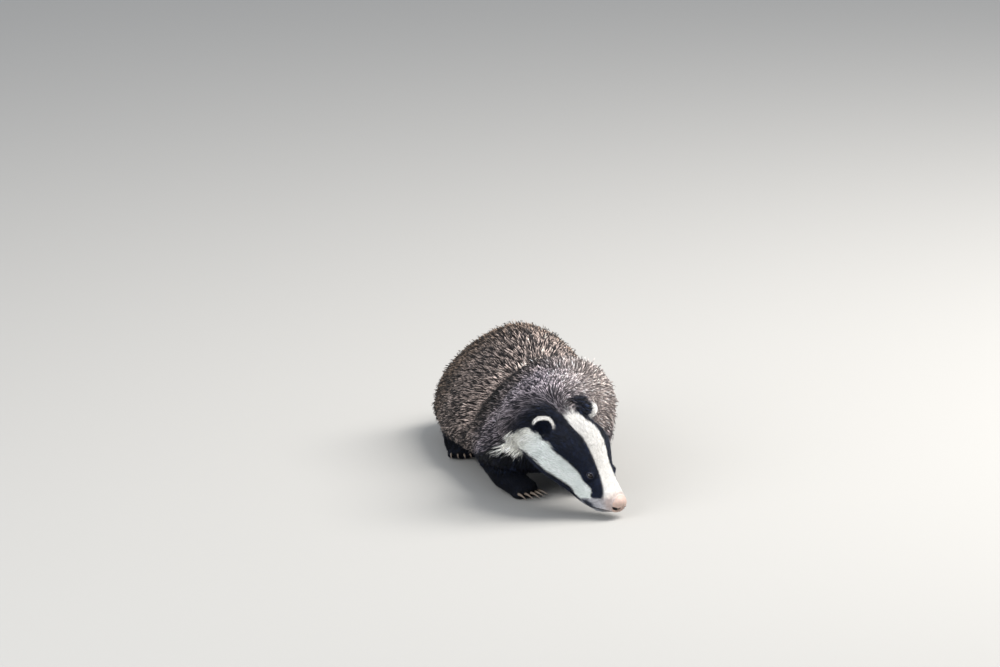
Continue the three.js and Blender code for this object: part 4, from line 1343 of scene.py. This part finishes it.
def claw_shell(basis, length):
    """A claw: sections carried from the toe down to the floor on a parabola, flat below and ridged above,
    that shrink to a blunt point."""
    origin, axes = basis
    way, across = axes[2], axes[0]
    root = origin + CLAW_AHEAD * way
    root[2] = CLAW_HEIGHT
    share = np.linspace(0, 1, 12)
    spine = root + way * (share * length)[:, None]
    spine[:, 2] += 3 * share - 6.5 * share**2
    size = np.sqrt(1 - share**3)[:-1, None]
    share = share[:-1, None]
    turn = np.arange(10) * 2 * np.pi / 10
    wide = (CLAW_WIDE - 0.9 * share) * size * np.cos(turn)
    high = np.where(np.sin(turn) > 0, CLAW_ABOVE, CLAW_BELOW) * (1 - 0.65 * share) * size * np.sin(turn)
    rings = spine[:-1, None] + wide[..., None] * across + high[..., None] * np.array([0, 0, 1.0])
    points = np.concatenate([rings.reshape(-1, 3), spine[:1] - way * 2, spine[-1:]])
    points[:, 2] = np.maximum(points[:, 2], 0.15)
    return points, tube_faces(len(share), len(turn))


def add_node(tree, kind, settings=None, **links):
    """Adds a node: settings are its own properties, and each link or value goes to the input of that name
    with spaces for underscores, or for i and a number to the input at that place."""
    node = tree.nodes.new(kind)
    for name, value in (settings or {}).items():
        setattr(node, name, value)
    for name, value in links.items():
        socket = node.inputs[int(name[1:])] if name[1:].isdigit() else node.inputs[name.replace("_", " ")]
        if isinstance(value, bpy.types.NodeSocket):
            tree.links.new(value, socket)
        else:
            socket.default_value = value
    return node


def new_material(name, **values):
    """A node material with its output and the shader that feeds it, whose inputs have the values."""
    material = bpy.data.materials.new(name)
    material.use_nodes = True
    tree = material.node_tree
    tree.nodes.clear()
    shader = add_node(tree, "ShaderNodeBsdfPrincipled", **values)
    output = tree.nodes.new("ShaderNodeOutputMaterial")
    tree.links.new(shader.outputs["BSDF"], output.inputs["Surface"])
    return material, tree, shader


def grain_of(tree, kind, size, **values):
    """A texture over the object's own coordinates, whose grain is so many millimetres wide."""
    spots = add_node(tree, "ShaderNodeTexCoord").outputs["Object"]
    return add_node(tree, kind, Vector=spots, Scale=1 / (size * MM), **values)


def colour_by(tree, shader, value, start, finish, share_at_start, share_at_finish):
    """Colours the shader with what each vertex carries, times a share that changes in step with a value
    as that goes from a start to a finish."""
    own = add_node(tree, "ShaderNodeAttribute", {"attribute_name": "Hair"})
    share = add_node(tree, "ShaderNodeMapRange", i0=value, i1=start, i2=finish, i3=share_at_start,
                     i4=share_at_finish)
    colour = add_node(tree, "ShaderNodeVectorMath", {"operation": "SCALE"}, i0=own.outputs["Color"],
                      Scale=share.outputs["Result"])
    tree.links.new(colour.outputs["Vector"], shader.inputs["Base Color"])


def mix_by(tree, shader, value, dark, light):
    """Colours the shader between a dark and a light colour, in step with a value."""
    colour = add_node(tree, "ShaderNodeMix", {"data_type": "RGBA"}, i0=value, i6=(*dark, 1), i7=(*light, 1))
    tree.links.new(colour.outputs["Result"], shader.inputs["Base Color"])


def bump_by(tree, shader, value, strength, height, invert=False):
    """Raises the shader's surface by so many millimetres, in step with a value."""
    bump = add_node(tree, "ShaderNodeBump", {"invert": invert}, Strength=strength, Distance=height * MM,
                    Height=value)
    tree.links.new(bump.outputs["Normal"], shader.inputs["Normal"])


def guard_hair(name, darkest, lightest):
    """Keratin guard hair: dry and slightly waxy, with the banded colours that each tuft carries, between
    a darkest and a lightest share that change from hair to hair."""
    material, tree, shader = new_material(name, Roughness=0.62, IOR=1.55, Specular_IOR_Level=0.2)
    hairs = grain_of(tree, "ShaderNodeTexNoise", 1.2, Detail=2.0, Roughness=0.6)
    colour_by(tree, shader, hairs.outputs["Fac"], 0.32, 0.68, darkest, lightest)
    return material


def short_fur():
    """Skin under short fur that lies flat: the colours of the markings with a bump as fine as the hairs."""
    material, tree, shader = new_material("short_fur", Roughness=0.8, Specular_IOR_Level=0.25)
    hairs = grain_of(tree, "ShaderNodeTexNoise", 0.7, Detail=3.0, Roughness=0.65)
    colour_by(tree, shader, hairs.outputs["Fac"], 0.3, 0.7, 0.6, 1.05)
    bump_by(tree, shader, hairs.outputs["Fac"], 0.6, 0.4)
    return material


def bare_skin():
    """Bare skin of the nose, lips and lids: damp, with a pebbled grain 0.8 mm across."""
    material, tree, shader = new_material(
        "bare_skin", Roughness=0.5, Specular_IOR_Level=0.5, Subsurface_Weight=0.08,
        Subsurface_Radius=(0.004, 0.0015, 0.0008),
    )
    pebbles = grain_of(tree, "ShaderNodeTexVoronoi", 0.8)
    colour_by(tree, shader, pebbles.outputs["Distance"], 0.0, 0.7, 1.05, 0.82)
    bump_by(tree, shader, pebbles.outputs["Distance"], 0.5, 0.25, invert=True)
    return material


def wet_eye(colours):
    """A dark brown eye under a wet, clear cornea, with fine streaks of a lighter brown."""
    material, tree, shader = new_material(
        "wet_eye", Roughness=0.06, IOR=1.38, Specular_IOR_Level=0.5, Coat_Weight=0.3, Coat_Roughness=0.03,
    )
    streaks = grain_of(tree, "ShaderNodeTexNoise", 1.5)
    mix_by(tree, shader, streaks.outputs["Fac"], colours["eye_dark"], colours["eye_light"])
    return material


def claw_horn(colours):
    """Horn of the claws: grey-brown keratin, smooth, clouded and finely uneven every two millimetres."""
    material, tree, shader = new_material("claw_horn", Roughness=0.38, IOR=1.54)
    bands = grain_of(tree, "ShaderNodeTexNoise", 2, Detail=4.0)
    mix_by(tree, shader, bands.outputs["Fac"], colours["claw_dark"], colours["claw_light"])
    bump_by(tree, shader, bands.outputs["Fac"], 0.3, 0.2)
    return material


def matt_floor(colours):
    """The matt pale floor of a studio."""
    base = (*colours["floor"], 1)
    return new_material("matt_floor", Base_Color=base, Roughness=0.95, Specular_IOR_Level=0.1)[0]


@lru_cache(maxsize=1)
def hide_of(name):
    """What the finished skin of that name carries."""
    return Hide(bpy.data.objects[name].data)


LONG_COAT = {"rate": 0.89, "rings": LONG_RINGS, "width": 0.97, "spread": 0.2, "follow": 0.7}
SHORT_COAT = {"rate": 0.92, "rings": SHORT_RINGS, "width": 1, "spread": 0.14, "follow": 1}
# For each part: the finish it stands for, the share of the tufts, their rings, how wide they are, how far
# they stray from the lie, how closely they follow the skin, how large the clumps are and how strongly
# their tips draw together
COAT = {
    "trunk": {"slot": "body_fur", **LONG_COAT, "clump": 9, "pull": 0.4},
    "neck": {"slot": "neck_fur", **LONG_COAT, "clump": 7, "pull": 0.3, "spread": 0.16},
    "tail": {"slot": "tail_fur", **LONG_COAT, "clump": 12, "pull": 0.55, "follow": 0.3, "spread": 0.3},
    "head": {"slot": "face_fur", **SHORT_COAT, "clump": 5, "pull": 0.2},
    "ears": {"slot": "dark_fur", **SHORT_COAT, "clump": 3, "pull": 0.15},
    "legs": {"slot": "dark_fur", **SHORT_COAT, "rate": 0.65, "width": 1.2, "clump": 5, "pull": 0.25},
}
FIELD_MARGIN = 24
# The cube round the face that has the finer grid: its middle in the head's own frame and half its side
FACE_MIDDLE, FACE_REACH = (60, 0, -10), 84


LEVELS = ("root", "middle", "tip")
# Where hair of each kind grows, and its colours at the root, in the middle and at the tip
HAIR_COLOURS = {
    # The dark roots of back, rump and shoulders are painted shade deep in the coat
    "back": ("the back", "#2c2624", "#1d191a", "#c9b6ac"),
    "rump": ("the rump", "#30281f", "#211b17", "#a08874"),
    "shoulders": ("the shoulders", "#322e34", "#1f1d26", "#dfd1d8"),
    "tail": ("the tail", "#b5a58e", "#a39481", "#dccfb8"),
    # The bluish tips of the black hair carry a painted sheen of the sky
    "dark": ("the black parts of face, ears, throat, belly and legs", "#080b14", "#070b18", "#212c45"),
    "white": ("the stripe on the face", "#d5d1ca", "#eae7e2", "#f5f3ef"),
    "cheek": ("the stripe on cheek and neck", "#cfcdc2", "#f4f3ea", "#fbf9f0"),
    # The chin's bluish grey is painted shade under the head
    "chin": ("the chin", "#4c535c", "#5a626d", "#79818c"),
    "snout": ("the snout", "#a9a7ab", "#bab8bb", "#cac8cb"),
}
SINGLE_COLOURS = {
    # Painted sunlight on the tips of the hair on the left shoulder
    "frost": ("Palest tips of the hair on the left shoulder", "#f4e3da"),
    "nose": ("Bare skin of the nose pad", "#bfa598"),
    # Dark bare skin of the lips, which at a third of its brightness is also the painted shade inside the
    # nostrils
    "dark_lips_and_nostril_shade": ("Dark bare skin of nostrils and lips", "#2a1a18"),
    "lids": ("Bare rims of the eyelids", "#2a2a33"),
    "eye_dark": ("Darkest brown of the eye", "#080505"),
    "eye_light": ("Lighter brown of the eye's streaks", "#1c0f0a"),
    "claw_dark": ("Dark horn of the claws", "#5a4d42"),
    "claw_light": ("Light horn of the claws", "#85776a"),
    "floor": ("Floor of the studio", "#a4a29e"),
}


def colour(name, description, code):
    """A colour property under a plain form of its name, from sRGB hex."""
    return bpy.props.FloatVectorProperty(
        name=name.replace("_", " ").capitalize(), description=description, default=tuple(linear(code)),
        subtype="COLOR", min=0, max=1,
    )


class BadgerCoat(bpy.types.PropertyGroup):
    """Sizes of the coat."""

    density: bpy.props.FloatProperty(
        name="Density", description="Tufts grown, as a share of the full coat", default=1, min=0.05, max=1,
        subtype="FACTOR",
    )
    seed: bpy.props.IntProperty(name="Seed", description="Start of the chance that places tufts", default=7)


class BadgerColours(bpy.types.PropertyGroup):
    """Colours of the coat at the roots, middles and tips of the hair, and of the bare parts."""

    __annotations__ = {
        f"{kind}_{level}": colour(f"{kind}_{level}", f"Hair of {where}, {level}", code)
        for kind, (where, *codes) in HAIR_COLOURS.items() for level, code in zip(LEVELS, codes)
    }
    __annotations__.update({name: colour(name, *values) for name, values in SINGLE_COLOURS.items()})


def palette(props):
    """The hair's colours as root, middle and tip for each kind, and the single ones."""
    return {
        **{kind: [np.array(getattr(props, f"{kind}_{level}")) for level in LEVELS] for kind in HAIR_COLOURS},
        **{name: np.array(getattr(props, name)) for name in SINGLE_COLOURS},
    }


def bare_colours(hide, colours):
    """The colours of bare skin: the nose pad with painted shade inside the nostrils, the dark lips and the
    lids' rims.
    """
    dark = colours["dark_lips_and_nostril_shade"]
    pad = nose_pad(hide.forward, hide.left, hide.up)
    shade = mix_rows(dark, colours["nose"], blend(-0.4, 0.8, pad))
    lids = np.zeros(len(pad))
    for side in SIDES.values():
        # Painted shade inside the nostrils' openings and slits
        for basis, wide, high in zip(nostril_bases(side), (2.4, 4.6), (2.5, 2.2)):
            x, y, z = into(basis, hide.points).T
            inside = (1 - blend(0.75, 1.1, np.hypot(x / wide, y / high))) * (np.abs(z) < 8)
            shade = mix_rows(shade, dark * 0.3, inside)
        x, y, z = into(eye_basis(side), hide.points).T
        rim = (np.hypot(x, y) < 9) * (np.abs(z) < 9) * blend(0.4, -0.2, eye_opening(x, y))
        lids = np.maximum(lids, rim)
    off_lips = blend(0.1, 1.2, np.abs(mouth_level(hide.forward, hide.up))) * (hide.forward > 105)
    return mix_rows(mix_rows(dark * 0.5, shade, off_lips), colours["lids"], lids)


def paint_skin(piece, hide, colours):
    """Gives the skin the coat's colours, darkened by painted shade deep in the coat as its hair is longer,
    and those of its bare parts.
    """
    root, middle, tip = coat_colours(hide.points, hide.weights, colours)
    # Painted shade: under longer hair the skin takes the roots' colour at 0.45 of its brightness
    shade = mix_rows(mix(tip, middle, 0.4), root * 0.45, blend(5, 16, hide.length))
    set_hair_colours(piece.data, mix_rows(shade, bare_colours(hide, colours), hide.bare))
    corners = read_numbers(piece.data.loops, "vertex_index", kind=np.int64)[:, 0]
    starts = read_numbers(piece.data.polygons, "loop_start", kind=np.int64)[:, 0]
    bare_face = np.maximum.reduceat(hide.bare[corners], starts) > 0.5
    piece.data.polygons.foreach_set("material_index", bare_face.astype(np.int32))


class BADGER_OT_skin(bpy.types.Operator):
    """Join the body's forms in one skin with its lids, ears, lips and nose, and paint its markings"""

    bl_idname = "badger.skin"
    bl_label = "Skin"

    def execute(self, context):
        piece = base_skin()
        shape_skin(piece)
        piece.data.materials.append(short_fur())
        piece.data.materials.append(bare_skin())
        paint_skin(piece, hide_of("skin"), palette(context.scene.badger_colours))
        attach(piece, "root")
        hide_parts("head", "lower_jaw", "nose_pad", "ear_left", "ear_right", "torso", "neck", "tail",
                    "foreleg_left", "foreleg_right", "hindleg_left", "hindleg_right")
        return {"FINISHED"}


class BADGER_OT_coat(bpy.types.Operator):
    """Grow the tufts of the coat from the skin, part by part"""

    bl_idname = "badger.coat"
    bl_label = "Coat"

    def execute(self, context):
        sizes = context.scene.badger_coat
        colours = palette(context.scene.badger_colours)
        hide = hide_of("skin")
        long_hair = guard_hair("long_guard_hair", 0.45, 1.55)
        short_hair = guard_hair("short_guard_hair", 0.82, 1.15)
        low, high = hide.points.min(0) - FIELD_MARGIN, hide.points.max(0) + FIELD_MARGIN
        body = SkinField(hide, low, high, 4, 8)
        middle = on_head(FACE_MIDDLE)
        face = SkinField(hide, middle - FACE_REACH, middle + FACE_REACH, 2.4, 7)
        for part, settings in COAT.items():
            random = np.random.default_rng(sizes.seed + PARTS.index(part))
            field = face if part in ("head", "ears") else body
            settings = {**settings, "rate": settings["rate"] * sizes.density}
            for piece in grow_coat(hide, field, part, settings, colours, random):
                piece.data.materials.append(long_hair if settings["rings"] is LONG_RINGS else short_hair)
                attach(piece, "root")
        return {"FINISHED"}


class BADGER_OT_eyes(bpy.types.Operator):
    """Turn the two eyes, with their bulging corneas, and set them between the lids"""

    bl_idname = "badger.eyes"
    bl_label = "Eyes"

    def execute(self, context):
        material = wet_eye(palette(context.scene.badger_colours))
        for name, side in SIDES.items():
            piece = new_object(f"eyeball_{name}", *lathe(eye_basis(side), *eye_profile(), 40))
            face_outward(piece)
            piece.data.materials.append(material)
            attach(piece, "root")
            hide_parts(f"eye_{name}")
        return {"FINISHED"}


class BADGER_OT_claws(bpy.types.Operator):
    """Set five claws on each paw, long on the forepaws and short on the hind ones"""

    bl_idname = "badger.claws"
    bl_label = "Claws"

    def execute(self, context):
        material = claw_horn(palette(context.scene.badger_colours))
        for limb in LIMBS:
            length = CLAW_LENGTH[limb.split("_")[0]]
            shells = [claw_shell(basis, length) for basis in toe_bases(limb)]
            piece = new_object(f"claws_{limb}", *join_shells(shells))
            face_outward(piece)
            piece.data.materials.append(material)
            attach(piece, "root")
        return {"FINISHED"}


# The camera looks at the model from this far round to its right and up, as the photograph does. The middle
# of the head lies at HEAD_PIXEL in the picture of 1000 by 667 pixels, at so many pixels a millimetre.
CAMERA_ROUND, CAMERA_UP = np.radians([-8.5, 13.0])
CAMERA_AWAY = 7000
HEAD_PIXEL = (557.4, 427.8)
PICTURE = (1000, 667)
PIXELS_PER_MM = 0.828
SENSOR = 36
# The soft lights: name, power, width, place in metres and tint
LIGHTS = (
    ("key", 80, 1.2, (1.2, -0.4, 2.9), (1, 0.98, 0.95)),
    ("fill", 80, 2.4, (-2.3, -1.9, 1.3), (0.96, 0.98, 1)),
    ("rim", 120, 1.6, (2.3, 0.3, 2.2), (1, 0.98, 0.96)),
)
# What the lights face, in metres
LIT_SPOT = (0, 0, 0.1)
SKY, SKY_STRENGTH = (0.81, 0.87, 0.97, 1), 0.72


def stand(name, data, right, back, spot):
    """A camera or light at a spot in metres, with its back turned away from what it faces."""
    turned = Matrix(np.stack([right, np.cross(back, right), back], 1).tolist()).to_4x4()
    turned.translation = spot
    piece = put_in_scene(name, data)
    piece.matrix_world = turned
    return piece


def place_camera():
    """A camera square to its line of sight: the head's middle is carried to its pixel by moves to the side
    and up, and the lens gives the scale at that distance."""
    back = np.array([np.sin(CAMERA_ROUND) * np.cos(CAMERA_UP), -np.cos(CAMERA_ROUND) * np.cos(CAMERA_UP),
                     np.sin(CAMERA_UP)])
    right = np.array([np.cos(CAMERA_ROUND), np.sin(CAMERA_ROUND), 0])
    up = np.cross(back, right)
    aside = (HEAD_PIXEL[0] - PICTURE[0] / 2) / PIXELS_PER_MM
    below = (HEAD_PIXEL[1] - PICTURE[1] / 2) / PIXELS_PER_MM
    spot = (place(HEAD_AT) + SHIFT - right * aside + up * below + back * CAMERA_AWAY) * MM
    data = bpy.data.cameras.new("camera")
    data.sensor_width = SENSOR
    data.lens = PIXELS_PER_MM * CAMERA_AWAY / PICTURE[0] * SENSOR
    data.clip_end = 200
    bpy.context.scene.camera = stand("camera", data, right, back, spot.tolist())


def add_light(name, energy, size, spot, tint):
    """A square soft light that faces the model."""
    data = bpy.data.lights.new(name, "AREA")
    data.energy, data.size, data.color = energy, size, tint
    back = unit(np.subtract(spot, LIT_SPOT))
    stand(name, data, unit(np.cross([0, 0, 1], back)), back, spot)


def floor_disc():
    """A wide disc: rings of points at growing distances in metres from a middle point."""
    around = 64
    turn = np.arange(around) * 2 * np.pi / around
    radii = np.array([0.5, 2, 8, 25]) / MM
    rings = radii[:, None, None] * np.stack([np.cos(turn), np.sin(turn), 0 * turn], -1)[None]
    points = np.concatenate([rings.reshape(-1, 3), [[0, 0, 0]]]) - SHIFT
    points[:, 2] = 0
    faces = [[len(points) - 1, i, (i + 1) % around] for i in range(around)]
    for a in around * np.arange(len(radii) - 1):
        faces += [[a + i, a + around + i, a + around + (i + 1) % around, a + (i + 1) % around]
                  for i in range(around)]
    return points, faces


class BADGER_OT_stage(bpy.types.Operator):
    """Lay the pale floor, set up the soft lights and place the camera"""

    bl_idname = "badger.stage"
    bl_label = "Stage"

    def execute(self, context):
        floor = new_object("floor", *floor_disc())
        floor.data.materials.append(matt_floor(palette(context.scene.badger_colours)))
        world = bpy.data.worlds.new("studio")
        world.use_nodes = True
        sky = world.node_tree.nodes["Background"]
        sky.inputs["Color"].default_value = SKY
        sky.inputs["Strength"].default_value = SKY_STRENGTH
        context.scene.world = world
        context.scene.view_settings.view_transform = "Standard"
        for light in LIGHTS:
            add_light(*light)
        place_camera()
        return {"FINISHED"}


OPERATORS = (BADGER_OT_skin, BADGER_OT_coat, BADGER_OT_eyes, BADGER_OT_claws, BADGER_OT_stage)


class BADGER_PT_model(bpy.types.Panel):
    """The badger's pieces, sizes and colours"""

    bl_label = "Badger"
    bl_idname = "BADGER_PT_model"
    bl_space_type = "VIEW_3D"
    bl_region_type = "UI"
    bl_category = "Badger"

    def draw(self, context):
        for operator in OPERATORS:
            self.layout.operator(operator.bl_idname)
        for group in (context.scene.badger_coat, context.scene.badger_colours):
            box = self.layout.box()
            for name in group.__annotations__:
                box.prop(group, name)


CLASSES = (BadgerCoat, BadgerColours, *OPERATORS, BADGER_PT_model)


def register():
    for item in CLASSES:
        bpy.utils.register_class(item)
    bpy.types.Scene.badger_coat = bpy.props.PointerProperty(type=BadgerCoat)
    bpy.types.Scene.badger_colours = bpy.props.PointerProperty(type=BadgerColours)


def unregister():
    del bpy.types.Scene.badger_colours
    del bpy.types.Scene.badger_coat
    for item in reversed(CLASSES):
        bpy.utils.unregister_class(item)


def main():
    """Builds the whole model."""
    register()
    bpy.ops.badger.skin()
    bpy.ops.badger.coat()
    bpy.ops.badger.eyes()
    bpy.ops.badger.claws()
    bpy.ops.badger.stage()


if __name__ == "__main__":
    main()
